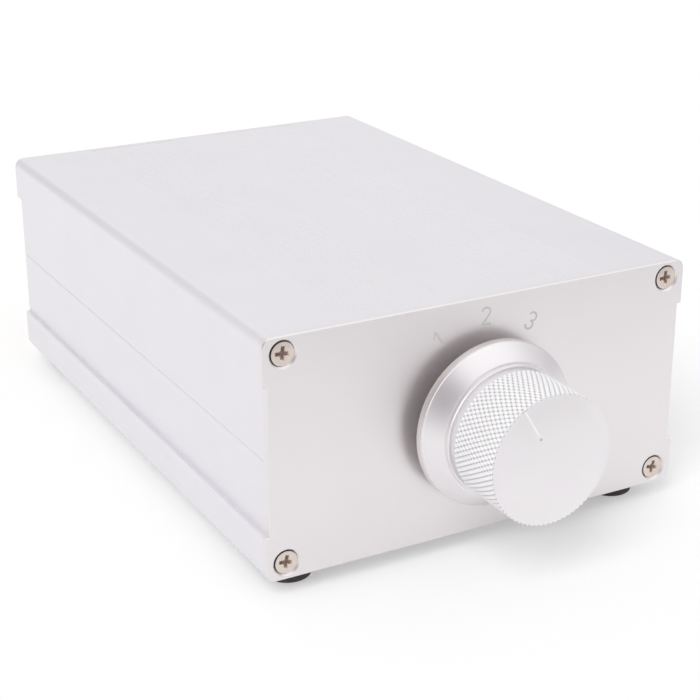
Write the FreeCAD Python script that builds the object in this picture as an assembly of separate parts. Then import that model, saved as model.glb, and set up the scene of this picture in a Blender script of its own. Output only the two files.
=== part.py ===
import FreeCAD, Part
import math
import os

# Audio source selector: three stereo inputs, one stereo output, one rotary knob.
# Millimetres. +X is to the viewer's right, +Y runs from the knob to the sockets, +Z is up.
# The origin is on the table, under the middle of the whole object.

V = FreeCAD.Vector

# Case: two identical extruded halves and two flat panels
CASE_W = 106.0
CASE_H = 55.0
BODY_LEN = 153.0
PANEL_T = 1.8
CORNER_R = 2.4
EAR_H = 10.7                 # height of the proud band along the top and bottom of each side
SIDE_RECESS = 1.0            # how far the side stands back between the two bands
FLOOR_T = 2.2
SIDE_T = 2.2                 # side wall, measured where it stands back
PANEL_EDGE = 0.22            # chamfer round the outer edge of each panel
TONGUE_H = 1.5
TONGUE_CLEAR = 0.1
SEAM_CHAMFER = 0.2           # relief along the seam between the halves

# Fine grooves along the top and the bottom, in two bands
GROOVE_PITCH = 1.0
GROOVE_W = 0.7
GROOVE_DEPTH = 0.12
GROOVE_BAND_W = 25.0
GROOVE_BAND_IN = 6.6         # from the middle of the case to the nearer edge of a band

# Slots for a board along the inside of each side wall
RIB_OUT = 2.2
RIB_T = 1.2
SLOT_W = 1.8
SLOT_COUNT = 2
SLOT_START_Z = 12.0          # underside of the lowest rib, above the case's underside

# Corner screws, M3 countersunk with a cross recess
M3_R = 1.5
THREAD_FIT = 0.02            # room between a thread, drawn as a plain cylinder, and its hole
CSK_HEAD_R = 2.7
CSK_HEAD_RIM = 0.2
CSK_SUNK = 0.3               # the head lies this far under the panel's face
CORNER_SCREW_LEN = 8.0
CORNER_SCREW_IN_X = 4.8      # from the side of the case to the screw's axis
CORNER_SCREW_IN_Z = 3.9
CORNER_SCREW_TURNS = (4.0, -3.0, 9.0, 14.0)
BOSS_R = 3.5
CROSS_SPAN = 3.3
CROSS_W = 0.85
CROSS_DEPTH = 1.0

# Rubber feet on adhesive pads
FOOT_BASE_R = 5.9
FOOT_R = 5.2                 # at the table
FOOT_H = 4.1
FOOT_EDGE = 0.6
PAD_T = 0.4
FOOT_IN_X = 9.8              # from the side of the case to the foot's axis
FOOT_IN_Y = 10.0             # from the outer face of the panel to the foot's axis

# Knob: bevelled flange, bead, knurled grip and slightly crowned face
KNOB_GAP = 3.4
KNOB_LEN = 22.6              # to the edge of the face
FACE_CROWN = 0.4             # the middle of the face stands this far out from its edge
FLANGE_R = 19.0
FLANGE_RIM = 2.1
FLANGE_EDGE = 0.2
BEVEL_IN_R = 15.5
BEAD_R = 15.2
BEAD_LEN = 0.5
NECK_R = 14.2
NECK_LEN = 0.8
GRIP_R = 14.65
GRIP_EDGE = 0.35
KNOB_RECESS_R = 9.0
KNOB_RECESS_DEPTH = 3.0
KNOB_BORE_DEPTH = 17.5
POINTER_W = 0.4
POINTER_DEPTH = 0.25
POINTER_IN_R = 6.4           # inner end of the line, from the axis
SET_SCREW_R = 1.5
KNOB_SET_SCREW_LEN = 6.0
SET_SCREW_HEX = 1.5
SET_SCREW_HEX_DEPTH = 1.6
KNOB_SET_SCREW_IN = 7.4      # from the knob's face to the set screw's axis
KNOB_SET_SCREW_TURN = 180.0  # from the pointer, clockwise

# Numbers round the knob
NUMBER_RADIUS = 23.1
NUMBER_H = 3.85
NUMBER_STROKE = 0.46
NUMBER_DEPTH = 0.12
BOWL_SHARE = 0.27            # radius of the curve of a 2, to the number's height
HOOK_DEG = 155.0             # where the upper curve of a 2 or 3 starts
KNEE_DEG = -40.0             # where the curve of a 2 turns into its straight
LABEL_H = 3.2                # numbers over the sockets on the rear panel
LABEL_UP = 3.4               # from the collar's edge to the middle of a label
STEP_DEG = 30.0
POSITIONS = 3
REST_DEG = -STEP_DEG         # the knob points at 1

# Extension shaft, its bushing in the front panel and its coupler
SHAFT_R = 3.0
RUNNING_FIT = 0.05
SEAT_FIT = 0.02
SHAFT_FLAT = 0.5
SHAFT_FLAT_LEN = 14.0
SHAFT_END_GAP = 0.5          # between the shaft's front end and the end of the knob's bore
BUSHING_R = 4.5
BUSHING_HEX = 12.0
BUSHING_HEX_T = 2.5
BUSHING_BACK_LEN = 7.5
BUSHING_FRONT_LEN = 3.0
BUSHING_HOLE_FIT = 0.1
NUT_HEX = 12.0
NUT_T = 2.0
WASHER_R = 6.5
WASHER_T = 0.5
COUPLER_R = 5.5
COUPLER_LEN = 22.0
COUPLER_GAP = 2.0            # between the ends of the two shafts inside it
COUPLER_SCREW_IN = 5.0       # from each end of the coupler to its set screw

# Rotary switch on the circuit board
SWITCH_R = 13.0
SWITCH_LEN = 16.0
SWITCH_WALL = 1.5
SWITCH_FRONT_T = 2.5
SWITCH_BUSH_R = 4.75
SWITCH_BUSH_LEN = 9.0
SWITCH_NUT_HEX = 14.0
SWITCH_NUT_T = 2.2
SPINDLE_FRONT_LEN = 15.2     # from the bush's end to the spindle's front end
SPINDLE_FLAT_LEN = 8.0
CLIP_GROOVE_R = 2.5
CLIP_R = 4.4
CLIP_T = 0.6
CLIP_MOUTH = 4.0
CLIP_GAP = 0.2
BASE_T = 3.0
DETENT_COUNT = 12
DETENT_PEAK_R = 10.0
DETENT_DEPTH = 0.3
DETENT_SCALLOP_R = 1.7
DETENT_FROM = 1.5            # from the front wall to the detent ring
ROTOR_R = 9.7
ROTOR_T = 5.2
BALL_R = 1.5
BALL_CLEAR = 0.05
BALL_TURNS = (60.0, 240.0)   # clockwise from the pointer
SPRING_WIRE_R = 0.2
SPRING_R = 1.1
SPRING_TURNS = 4
POCKET_IN_R = 3.9
WIPER_T = 0.3
WIPER_W = 1.4
WIPER_IN_R = 4.6
WIPER_OUT_R = 9.2
WIPER_SEAT_IN_R = 5.6
WIPER_SEAT_OUT_R = 7.8
CONTACT_GAP = 0.05
PAD_PROUD = 0.3
COMMON_SPAN = 80.0
COMMON_W = 1.4
OUTER_PAD_R = 1.0
PIN_R = 0.5
PIN_PROUD = 1.4              # pin ends beyond the board
POLES = 4
STOP_R = 8.0
STOP_W = 1.6
STOP_H = 1.3
STOP_HALF_DEG = 7.0
STOP_GAP_DEG = 0.6
STOP_WASHER_R = 8.9
STOP_WASHER_T = 0.8
TAB_W = 1.5

# Circuit board behind the switch, on standoffs
BOARD_W = 84.0
BOARD_H = 40.0
BOARD_T = 1.6
BOARD_HOLE_FIT = 0.1
STANDOFF_LEN = 11.0
STANDOFF_HEX = 5.0
STANDOFF_IN_X = 3.0          # from the board's side edge to a standoff's axis
STANDOFF_IN_Z = 3.5          # from the board's upper or lower edge to a standoff's axis
STANDOFF_SCREW_LEN = 6.0
PAN_HEAD_R = 2.8
PAN_HEAD_TOP_R = 1.8
PAN_HEAD_H = 2.0
BOARD_SCREW_LEN = 5.0

# Phono sockets in the rear panel, two rows of four
JACK_PITCH_X = 21.0
JACK_PITCH_Z = 18.0
JACK_THREAD_R = 4.0
JACK_SLEEVE_R = 4.15
JACK_SLEEVE_LEN = 7.2
JACK_FLANGE_HEX = 11.0
JACK_FLANGE_T = 1.6
JACK_BORE_R = 3.2
JACK_TAIL = 5.0              # thread beyond the panel's inner face
JACK_MOUTH_EDGE = 0.3
COLLAR_R = 6.2
COLLAR_T = 1.2
SHOULDER_R = 4.6
INNER_WASHER_T = 1.0
LUG_R = 6.1
LUG_T = 0.4
LUG_TAIL_W = 1.6
LUG_TAIL_PROUD = 1.0
JACK_NUT_HEX = 11.0
JACK_NUT_T = 2.2
CORE_RECESS = 0.4            # the insulator ends this far inside the sleeve's mouth
CONTACT_R = 2.0
CONTACT_BORE_R = 1.65
CONTACT_BORE_DEPTH = 9.0
CONTACT_TAIL_R = 0.6
JACK_SEAT = 0.02

# Places worked out from the sizes above
TABLE_TO_CASE = FOOT_H + PAD_T
JACK_REACH = COLLAR_T + JACK_FLANGE_T + JACK_SLEEVE_LEN
KNOB_REACH = KNOB_GAP + KNOB_LEN + FACE_CROWN
CASE_LEN = BODY_LEN + 2 * PANEL_T
FRONT_Y = -(CASE_LEN + JACK_REACH - KNOB_REACH) / 2
BODY_Y = FRONT_Y + PANEL_T
BODY_END_Y = BODY_Y + BODY_LEN
REAR_Y = BODY_END_Y + PANEL_T
CASE_Z = TABLE_TO_CASE
SEAM_Z = CASE_Z + CASE_H / 2
AXIS_Z = SEAM_Z
SCREW_X = CASE_W / 2 - CORNER_SCREW_IN_X
SCREW_UP = CASE_H / 2 - CORNER_SCREW_IN_Z
RECESSED_X = CASE_W / 2 - SIDE_RECESS
INNER_X = RECESSED_X - SIDE_T
BOARD_BACK_Y = BODY_END_Y - STANDOFF_LEN
BOARD_Y = BOARD_BACK_Y - BOARD_T
SWITCH_Y = BOARD_Y - SWITCH_LEN
BASE_Y = BOARD_Y - BASE_T
BUSH_END_Y = SWITCH_Y - SWITCH_BUSH_LEN
SPINDLE_Y = BUSH_END_Y - SPINDLE_FRONT_LEN
CAVITY_Y = SWITCH_Y + SWITCH_FRONT_T
DETENT_Y = CAVITY_Y + DETENT_FROM
ROTOR_BACK_Y = DETENT_Y + ROTOR_T
CAVITY_R = SWITCH_R - SWITCH_WALL
SHAFT_END_Y = SPINDLE_Y - COUPLER_GAP
COUPLER_Y = SPINDLE_Y - (COUPLER_GAP + COUPLER_LEN) / 2
KNOB_FACE_Y = FRONT_Y - KNOB_GAP - KNOB_LEN
KNOB_BACK_Y = FRONT_Y - KNOB_GAP
BORE_END_Y = KNOB_BACK_Y - KNOB_BORE_DEPTH
SHAFT_Y = BORE_END_Y + SHAFT_END_GAP
SOLIDS = {}


def cylinder(radius, y_start, y_end, x=0.0, z=AXIS_Z):
    """A cylinder that runs along Y."""
    return Part.makeCylinder(radius, y_end - y_start, V(x, y_start, z), V(0, 1, 0))


def tube(outer_r, inner_r, y_start, y_end, x=0.0, z=AXIS_Z):
    return cylinder(outer_r, y_start, y_end, x, z).cut(cylinder(inner_r, y_start, y_end, x, z))


def box(x_start, x_end, y_start, y_end, z_start, z_end):
    corner = V(x_start, y_start, z_start)
    return Part.makeBox(x_end - x_start, y_end - y_start, z_end - z_start, corner)


def hexagon(across_flats, y_start, y_end, x=0.0, z=AXIS_Z):
    """A hexagonal prism along Y, with two flats level."""
    corner_r = across_flats / 2 / math.cos(math.pi / 6)
    angles = [math.radians(60 * k) for k in range(7)]
    points = [V(x + corner_r * math.cos(a), y_start, z + corner_r * math.sin(a)) for a in angles]
    return Part.Face(Part.makePolygon(points)).extrude(V(0, y_end - y_start, 0))


def turned(profile, x=0.0, z=AXIS_Z):
    """A closed outline of (radius, y) points turned about an axis along Y."""
    points = [V(radius, y, 0) for radius, y in profile]
    face = Part.Face(Part.makePolygon(points + points[:1]))
    solid = face.revolve(V(0, 0, 0), V(0, 1, 0), 360)
    solid.translate(V(x, 0, z))
    return solid


def clockwise(shape, degrees, x=0.0, z=AXIS_Z):
    """A copy turned clockwise about an axis along Y, as seen from the front."""
    copy = shape.copy()
    copy.rotate(V(x, 0, z), V(0, 1, 0), degrees)
    return copy


def at_angle(radius, degrees):
    """X and Z at this radius from the knob's axis, clockwise from the top."""
    angle = math.radians(degrees)
    return radius * math.sin(angle), AXIS_Z + radius * math.cos(angle)


def joined(shapes):
    first, rest = shapes[0], shapes[1:]
    return first.fuse(rest).removeSplitter() if rest else first


def write(name, solids):
    """One STEP file for a node, from one solid or a group of separate ones."""
    group = solids if isinstance(solids, list) else [solids]
    shape = group[0] if len(group) == 1 else Part.makeCompound(group)
    count = len(shape.Solids)
    if count < len(group) or not shape.isValid():
        raise ValueError(name + " is not made of valid solids")
    shape.exportStep("parts/" + name + ".step")
    SOLIDS[name] = count


# Case

def groove_line(z):
    """Points along a grooved face from the left to the right."""
    points = []
    count = int(round(GROOVE_BAND_W / GROOVE_PITCH))
    for side in (-1, 1):
        band_middle = side * (GROOVE_BAND_IN + GROOVE_BAND_W / 2)
        for k in range(count):
            middle = band_middle + (k - (count - 1) / 2) * GROOVE_PITCH
            points.append(V(middle - GROOVE_W / 2, BODY_Y, z))
            points.append(V(middle, BODY_Y, z + GROOVE_DEPTH))
            points.append(V(middle + GROOVE_W / 2, BODY_Y, z))
    return points


def corner_arc(centre_x, centre_z, start_deg, y):
    """A quarter circle of the case's corner radius, counter-clockwise from start_deg."""
    angles = [math.radians(start_deg + turn) for turn in (0, 45, 90)]
    points = [V(centre_x + CORNER_R * math.cos(a), y, centre_z + CORNER_R * math.sin(a)) for a in angles]
    return Part.Arc(*points).toShape()


def lines_through(points):
    return [Part.LineSegment(a, b).toShape() for a, b in zip(points, points[1:])]


def half_face():
    """The section of the lower half, a shallow U, at the front of the body."""
    arc_x = CASE_W / 2 - CORNER_R
    arc_z = CASE_Z + CORNER_R
    ear_z = CASE_Z + EAR_H
    y = BODY_Y
    bottom = [V(-arc_x, y, CASE_Z)] + groove_line(CASE_Z) + [V(arc_x, y, CASE_Z)]
    right = [(CASE_W / 2, arc_z), (CASE_W / 2, ear_z), (RECESSED_X, ear_z),
             (RECESSED_X, SEAM_Z - SEAM_CHAMFER), (RECESSED_X - SEAM_CHAMFER, SEAM_Z)]
    inside = [(INNER_X, SEAM_Z), (INNER_X, CASE_Z + FLOOR_T)]
    rising = [V(x, y, z) for x, z in right + inside]
    falling = [V(-p.x, y, p.z) for p in reversed(rising)]
    edges = lines_through(bottom)
    edges.append(corner_arc(arc_x, arc_z, 270, y))
    edges += lines_through(rising + falling)
    edges.append(corner_arc(-arc_x, arc_z, 180, y))
    return Part.Face(Part.Wire(edges))


def board_ribs(side):
    """Ribs on one side wall, with the board slots between them."""
    ribs = []
    near = side * (INNER_X - RIB_OUT)
    far = side * (INNER_X + SIDE_T / 2)
    for k in range(SLOT_COUNT + 1):
        z = CASE_Z + SLOT_START_Z + k * (RIB_T + SLOT_W)
        ribs.append(box(min(near, far), max(near, far), BODY_Y, BODY_END_Y, z, z + RIB_T))
    return ribs


def lower_half():
    body = half_face().extrude(V(0, BODY_LEN, 0))
    screw_z = CASE_Z + CORNER_SCREW_IN_Z
    middle_x = RECESSED_X - SIDE_T / 2
    bosses = [cylinder(BOSS_R, BODY_Y, BODY_END_Y, side * SCREW_X, screw_z) for side in (-1, 1)]
    tongue = box(INNER_X, middle_x, BODY_Y, BODY_END_Y, SEAM_Z - TONGUE_H, SEAM_Z + TONGUE_H)
    body = joined([body] + bosses + board_ribs(-1) + board_ribs(1) + [tongue])
    socket_x = middle_x + TONGUE_CLEAR
    cuts = [box(-socket_x, -INNER_X + RIB_OUT, BODY_Y, BODY_END_Y,
                SEAM_Z - TONGUE_H - TONGUE_CLEAR, SEAM_Z + TONGUE_H)]
    for side in (-1, 1):
        cuts.append(cylinder(M3_R + THREAD_FIT, BODY_Y, BODY_END_Y, side * SCREW_X, screw_z))
    return body.cut(cuts).removeSplitter()


def panel_blank(y_start, outer_is_front):
    """A panel with the outline of the whole case and a chamfered outer edge."""
    arc_x = CASE_W / 2 - CORNER_R
    low, high = CASE_Z, CASE_Z + CASE_H
    y = y_start
    right = [(CASE_W / 2, low + CORNER_R), (CASE_W / 2, low + EAR_H), (RECESSED_X, low + EAR_H),
             (RECESSED_X, high - EAR_H), (CASE_W / 2, high - EAR_H), (CASE_W / 2, high - CORNER_R)]
    rising = [V(x, y, z) for x, z in right]
    falling = [V(-p.x, y, p.z) for p in reversed(rising)]
    edges = lines_through([V(-arc_x, y, low), V(arc_x, y, low)])
    edges.append(corner_arc(arc_x, low + CORNER_R, 270, y))
    edges += lines_through(rising)
    edges.append(corner_arc(arc_x, high - CORNER_R, 0, y))
    edges += lines_through([V(arc_x, y, high), V(-arc_x, y, high)])
    edges.append(corner_arc(-arc_x, high - CORNER_R, 90, y))
    edges += lines_through(falling)
    edges.append(corner_arc(-arc_x, low + CORNER_R, 180, y))
    blank = Part.Face(Part.Wire(edges)).extrude(V(0, PANEL_T, 0))
    outer_y = y_start if outer_is_front else y_start + PANEL_T
    outer = [e for e in blank.Edges if all(abs(v.Y - outer_y) < 1e-6 for v in e.Vertexes)]
    return blank.makeChamfer(PANEL_EDGE, outer)


def straight(start, end):
    return Part.LineSegment(V(start[0], 0, start[1]), V(end[0], 0, end[1])).toShape()


def curved(centre, radius, start_deg, end_deg):
    """An arc in a panel's plane, counter-clockwise from start_deg when end_deg is larger."""
    x, z = centre
    angles = [math.radians(start_deg + share * (end_deg - start_deg)) for share in (0, 0.5, 1)]
    points = [V(x + radius * math.cos(a), 0, z + radius * math.sin(a)) for a in angles]
    return Part.Arc(*points).toShape()


def sign_path(sign, height):
    """The middle line of a number, or of the triangle that marks the output, about the origin."""
    half = height / 2
    bowl = height * BOWL_SHARE
    if sign == "1":
        return [straight((-bowl, half - bowl), (0, half)), straight((0, half), (0, -half))]
    if sign == "2":
        turn = math.radians(KNEE_DEG)
        knee = (bowl * math.cos(turn), half - bowl + bowl * math.sin(turn))
        return [curved((0, half - bowl), bowl, HOOK_DEG, KNEE_DEG), straight(knee, (-bowl, -half)),
                straight((-bowl, -half), (bowl, -half))]
    if sign == "3":
        small = height / 4
        return [curved((0, small), small, HOOK_DEG, -90), curved((0, -small), small, 90, -HOOK_DEG)]
    corners = [(-bowl, -bowl), (bowl, -bowl), (0, bowl), (-bowl, -bowl)]
    return [straight(a, b) for a, b in zip(corners, corners[1:])]


def engraving(sign, x, z, face_y, inward, height=NUMBER_H, turn=0.0):
    """The cutter for one sign; inward is 1 on the front panel and -1 on the rear."""
    path = Part.Wire(sign_path(sign, height))
    groove = Part.Face(path.makeOffset2D(NUMBER_STROKE / 2))
    if path.isClosed():
        groove = groove.cut(Part.Face(path.makeOffset2D(-NUMBER_STROKE / 2)))
    cutter = groove.extrude(V(0, PANEL_T, 0))
    cutter.translate(V(0, NUMBER_DEPTH - PANEL_T, 0))
    if inward < 0:
        cutter.rotate(V(0, 0, 0), V(0, 0, 1), 180)
    cutter.rotate(V(0, 0, 0), V(0, 1, 0), turn)
    cutter.translate(V(x, face_y, z))
    return cutter


def countersink(face_y, inward, x, z):
    """A countersunk clearance hole; the head's cone seats on it."""
    wide_r = CSK_HEAD_R + CSK_SUNK + CSK_HEAD_RIM
    hole_r = M3_R + THREAD_FIT
    profile = [(0, face_y), (wide_r, face_y), (hole_r, face_y + inward * (wide_r - hole_r)),
               (hole_r, face_y + inward * PANEL_T), (0, face_y + inward * PANEL_T)]
    return turned(profile, x, z)


def corner_places():
    return [(sx * SCREW_X, AXIS_Z + sz * SCREW_UP) for sz in (1, -1) for sx in (-1, 1)]


def standoff_places():
    x, up = BOARD_W / 2 - STANDOFF_IN_X, BOARD_H / 2 - STANDOFF_IN_Z
    return [(sx * x, AXIS_Z + sz * up) for sz in (1, -1) for sx in (-1, 1)]


def jack_columns():
    """The X of the inputs 1, 2 and 3 and of the output, left to right as seen from behind."""
    return [JACK_PITCH_X * (1.5 - k) for k in range(4)]


def jack_places(row):
    """Row 1 is the upper one, for the left channel, and row -1 the lower."""
    return [(x, AXIS_Z + row * JACK_PITCH_Z / 2) for x in jack_columns()]


def front_panel():
    panel = panel_blank(FRONT_Y, True)
    cuts = [countersink(FRONT_Y, 1, x, z) for x, z in corner_places()]
    cuts.append(cylinder(BUSHING_R + BUSHING_HOLE_FIT, FRONT_Y, BODY_Y))
    for k in range(POSITIONS):
        turn = REST_DEG + k * STEP_DEG
        x, z = at_angle(NUMBER_RADIUS, turn)
        cuts.append(engraving(str(k + 1), x, z, FRONT_Y, 1, turn=turn))
    return panel.cut(cuts)


def rear_panel():
    panel = panel_blank(BODY_END_Y, False)
    cuts = [countersink(REAR_Y, -1, x, z) for x, z in corner_places() + standoff_places()]
    for x, z in jack_places(1) + jack_places(-1):
        cuts.append(cylinder(SHOULDER_R + JACK_SEAT, BODY_END_Y, REAR_Y, x, z))
    label_z = AXIS_Z + JACK_PITCH_Z / 2 + COLLAR_R + LABEL_UP
    for sign, x in zip(("1", "2", "3", "out"), jack_columns()):
        cuts.append(engraving(sign, x, label_z, REAR_Y, -1, LABEL_H))
    return panel.cut(cuts)


# Fasteners

def cross_recess(face_y, inward, x, z):
    """Two crossed slots, as a tool recess in a screw head."""
    deep = inward * CROSS_DEPTH
    y_start, y_end = min(face_y, face_y + deep), max(face_y, face_y + deep)
    reach, half = CROSS_SPAN / 2, CROSS_W / 2
    level = box(x - reach, x + reach, y_start, y_end, z - half, z + half)
    upright = box(x - half, x + half, y_start, y_end, z - reach, z + reach)
    return level.fuse(upright)


def countersunk_screw(face_y, inward, x, z, length, turn=0.0):
    top = face_y + inward * CSK_SUNK
    rim = top + inward * CSK_HEAD_RIM
    neck = rim + inward * (CSK_HEAD_R - M3_R)
    tip = top + inward * length
    profile = [(0, top), (CSK_HEAD_R, top), (CSK_HEAD_R, rim), (M3_R, neck), (M3_R, tip), (0, tip)]
    screw = turned(profile, x, z).cut(cross_recess(top, inward, x, z))
    return clockwise(screw, turn, x, z)


def corner_screws(face_y, inward):
    return [countersunk_screw(face_y, inward, x, z, CORNER_SCREW_LEN, turn)
            for (x, z), turn in zip(corner_places(), CORNER_SCREW_TURNS)]


def board_screw(x, z):
    head_y = BOARD_Y - PAN_HEAD_H
    profile = [(0, head_y), (PAN_HEAD_TOP_R, head_y), (PAN_HEAD_R, head_y + PAN_HEAD_H / 2),
               (PAN_HEAD_R, BOARD_Y), (M3_R, BOARD_Y), (M3_R, BOARD_Y + BOARD_SCREW_LEN),
               (0, BOARD_Y + BOARD_SCREW_LEN)]
    return turned(profile, x, z).cut(cross_recess(head_y, 1, x, z))


def standoff(x, z):
    post = hexagon(STANDOFF_HEX, BOARD_BACK_Y, BODY_END_Y, x, z)
    return post.cut(cylinder(M3_R + THREAD_FIT, BOARD_BACK_Y, BODY_END_Y, x, z))


def set_screw(y, inner_r, length, turn):
    """A headless screw that presses on a shaft, lying along a radius."""
    outer_r = inner_r + length
    screw = Part.makeCylinder(SET_SCREW_R, length, V(0, y, AXIS_Z + inner_r), V(0, 0, 1))
    socket = hexagon(SET_SCREW_HEX, 0, SET_SCREW_HEX_DEPTH, 0, 0)
    socket.rotate(V(0, 0, 0), V(1, 0, 0), 90)
    socket.translate(V(0, y, AXIS_Z + outer_r - SET_SCREW_HEX_DEPTH))
    return clockwise(screw.cut(socket), turn)


def radial_hole(y, radius, inner_r, outer_r, turn):
    hole = Part.makeCylinder(radius, outer_r - inner_r, V(0, y, AXIS_Z + inner_r), V(0, 0, 1))
    return clockwise(hole, turn)


# Feet

def foot_places():
    x = CASE_W / 2 - FOOT_IN_X
    return {"front_left": (-x, FRONT_Y + FOOT_IN_Y), "front_right": (x, FRONT_Y + FOOT_IN_Y),
            "rear_left": (-x, REAR_Y - FOOT_IN_Y), "rear_right": (x, REAR_Y - FOOT_IN_Y)}


def foot(x, y):
    cone = Part.makeCone(FOOT_R, FOOT_BASE_R, FOOT_H, V(x, y, 0), V(0, 0, 1))
    sole = [e for e in cone.Edges if all(abs(v.Z) < 1e-6 for v in e.Vertexes)]
    return cone.makeFillet(FOOT_EDGE, sole)


def foot_pad(x, y):
    return Part.makeCylinder(FOOT_BASE_R, PAD_T, V(x, y, FOOT_H), V(0, 0, 1))


# Knob and shaft

def face_crown():
    """The shallow dome on the knob's face, a slice of a ball."""
    flat_r = GRIP_R - GRIP_EDGE
    top_y = KNOB_FACE_Y - FACE_CROWN
    ball_r = (flat_r ** 2 + FACE_CROWN ** 2) / (2 * FACE_CROWN)
    ball = Part.makeSphere(ball_r, V(0, top_y + ball_r, AXIS_Z))
    return ball.common(cylinder(flat_r, top_y, KNOB_FACE_Y))


def knob():
    back, face = KNOB_BACK_Y, KNOB_FACE_Y
    rim_y = back - FLANGE_RIM
    bevel_y = rim_y - (FLANGE_R - BEVEL_IN_R)
    bead_y = bevel_y - BEAD_LEN
    neck_y = bead_y - NECK_LEN
    profile = [(0, back), (FLANGE_R - FLANGE_EDGE, back), (FLANGE_R, back - FLANGE_EDGE),
               (FLANGE_R, rim_y), (BEVEL_IN_R, bevel_y), (BEAD_R, bevel_y),
               (BEAD_R - BEAD_LEN, bead_y), (NECK_R, bead_y), (NECK_R, neck_y),
               (GRIP_R - GRIP_EDGE, neck_y), (GRIP_R, neck_y - GRIP_EDGE),
               (GRIP_R, face + GRIP_EDGE), (GRIP_R - GRIP_EDGE, face), (0, face)]
    body = joined([turned(profile), face_crown()])
    cuts = [cylinder(KNOB_RECESS_R, back - KNOB_RECESS_DEPTH, back),
            cylinder(SHAFT_R + SEAT_FIT, BORE_END_Y, back),
            radial_hole(face + KNOB_SET_SCREW_IN, SET_SCREW_R + THREAD_FIT, 0, GRIP_R,
                        REST_DEG + KNOB_SET_SCREW_TURN)]
    pointer = box(-POINTER_W / 2, POINTER_W / 2, face - FACE_CROWN, face + POINTER_DEPTH,
                  AXIS_Z + POINTER_IN_R, AXIS_Z + GRIP_R)
    cuts.append(clockwise(pointer, REST_DEG))
    return body.cut(cuts)


def shaft_flat(y_start, y_end, turn):
    """What a flat takes off the shaft, on the side of its set screw."""
    cutter = box(-SHAFT_R, SHAFT_R, y_start, y_end, AXIS_Z + SHAFT_R - SHAFT_FLAT, AXIS_Z + SHAFT_R)
    return clockwise(cutter, turn)


def extension_shaft():
    rod = cylinder(SHAFT_R, SHAFT_Y, SHAFT_END_Y)
    front = shaft_flat(SHAFT_Y, SHAFT_Y + SHAFT_FLAT_LEN, REST_DEG + KNOB_SET_SCREW_TURN)
    back = shaft_flat(SHAFT_END_Y - SHAFT_FLAT_LEN, SHAFT_END_Y, REST_DEG)
    return rod.cut([front, back])


def shaft_bushing():
    hex_end = BODY_Y + BUSHING_HEX_T
    body = joined([cylinder(BUSHING_R, FRONT_Y - BUSHING_FRONT_LEN, hex_end + BUSHING_BACK_LEN),
                   hexagon(BUSHING_HEX, BODY_Y, hex_end)])
    bore = cylinder(SHAFT_R + RUNNING_FIT, FRONT_Y - BUSHING_FRONT_LEN, hex_end + BUSHING_BACK_LEN)
    return body.cut(bore)


def bushing_washer():
    return tube(WASHER_R, BUSHING_R + THREAD_FIT, FRONT_Y - WASHER_T, FRONT_Y)


def bushing_nut():
    start, end = FRONT_Y - WASHER_T - NUT_T, FRONT_Y - WASHER_T
    return hexagon(NUT_HEX, start, end).cut(cylinder(BUSHING_R + THREAD_FIT, start, end))


def coupler_screw_places():
    return [COUPLER_Y + COUPLER_SCREW_IN, COUPLER_Y + COUPLER_LEN - COUPLER_SCREW_IN]


def shaft_coupler():
    body = tube(COUPLER_R, SHAFT_R + SEAT_FIT, COUPLER_Y, COUPLER_Y + COUPLER_LEN)
    holes = [radial_hole(y, SET_SCREW_R + THREAD_FIT, 0, COUPLER_R, REST_DEG)
             for y in coupler_screw_places()]
    return body.cut(holes)


def coupler_set_screws():
    seat_r = SHAFT_R - SHAFT_FLAT
    return [set_screw(y, seat_r, COUPLER_R - seat_r, REST_DEG) for y in coupler_screw_places()]


# Rotary switch

def tab_turn():
    """Where the stop washer's tab meets the rotor's lug, at the end of the last step."""
    travel = (POSITIONS - 1) * STEP_DEG
    tab_half = math.degrees(TAB_W / 2 / (STOP_R - STOP_W / 2))
    return lug_turn() + travel + STOP_HALF_DEG + STOP_GAP_DEG + tab_half


def lug_turn():
    return REST_DEG + 180.0


def sector(inner_r, outer_r, y_start, y_end, middle_deg, half_deg):
    """A piece of a ring about the knob's axis."""
    height = y_end - y_start
    wedge = Part.makeCylinder(outer_r, height, V(0, 0, 0), V(0, 0, 1), 2 * half_deg)
    wedge = wedge.cut(Part.makeCylinder(inner_r, height))
    wedge.rotate(V(0, 0, 0), V(0, 0, 1), 90 - half_deg)
    wedge.rotate(V(0, 0, 0), V(1, 0, 0), 90)
    wedge.translate(V(0, y_end, AXIS_Z))
    return clockwise(wedge, middle_deg)


def detent_ring():
    start, end = DETENT_Y, DETENT_Y + ROTOR_T
    ring = tube(CAVITY_R, DETENT_PEAK_R, start, end)
    scallop_at = DETENT_PEAK_R + DETENT_DEPTH - DETENT_SCALLOP_R
    scallops = []
    for k in range(DETENT_COUNT):
        x, z = at_angle(scallop_at, k * 360 / DETENT_COUNT)
        scallops.append(cylinder(DETENT_SCALLOP_R, start, end, x, z))
    return ring.cut(scallops)


def tab_slot():
    """The slot in the switch's front wall for the stop washer's tab."""
    return stop_tab(SWITCH_Y, CAVITY_Y, SEAT_FIT)


def stop_tab(y_start, y_end, grow=0.0):
    half = TAB_W / 2 + grow
    tab = box(-half, half, y_start, y_end, AXIS_Z + STOP_R - STOP_W / 2 - grow,
              AXIS_Z + STOP_R + STOP_W / 2 + grow)
    return clockwise(tab, tab_turn())


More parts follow.
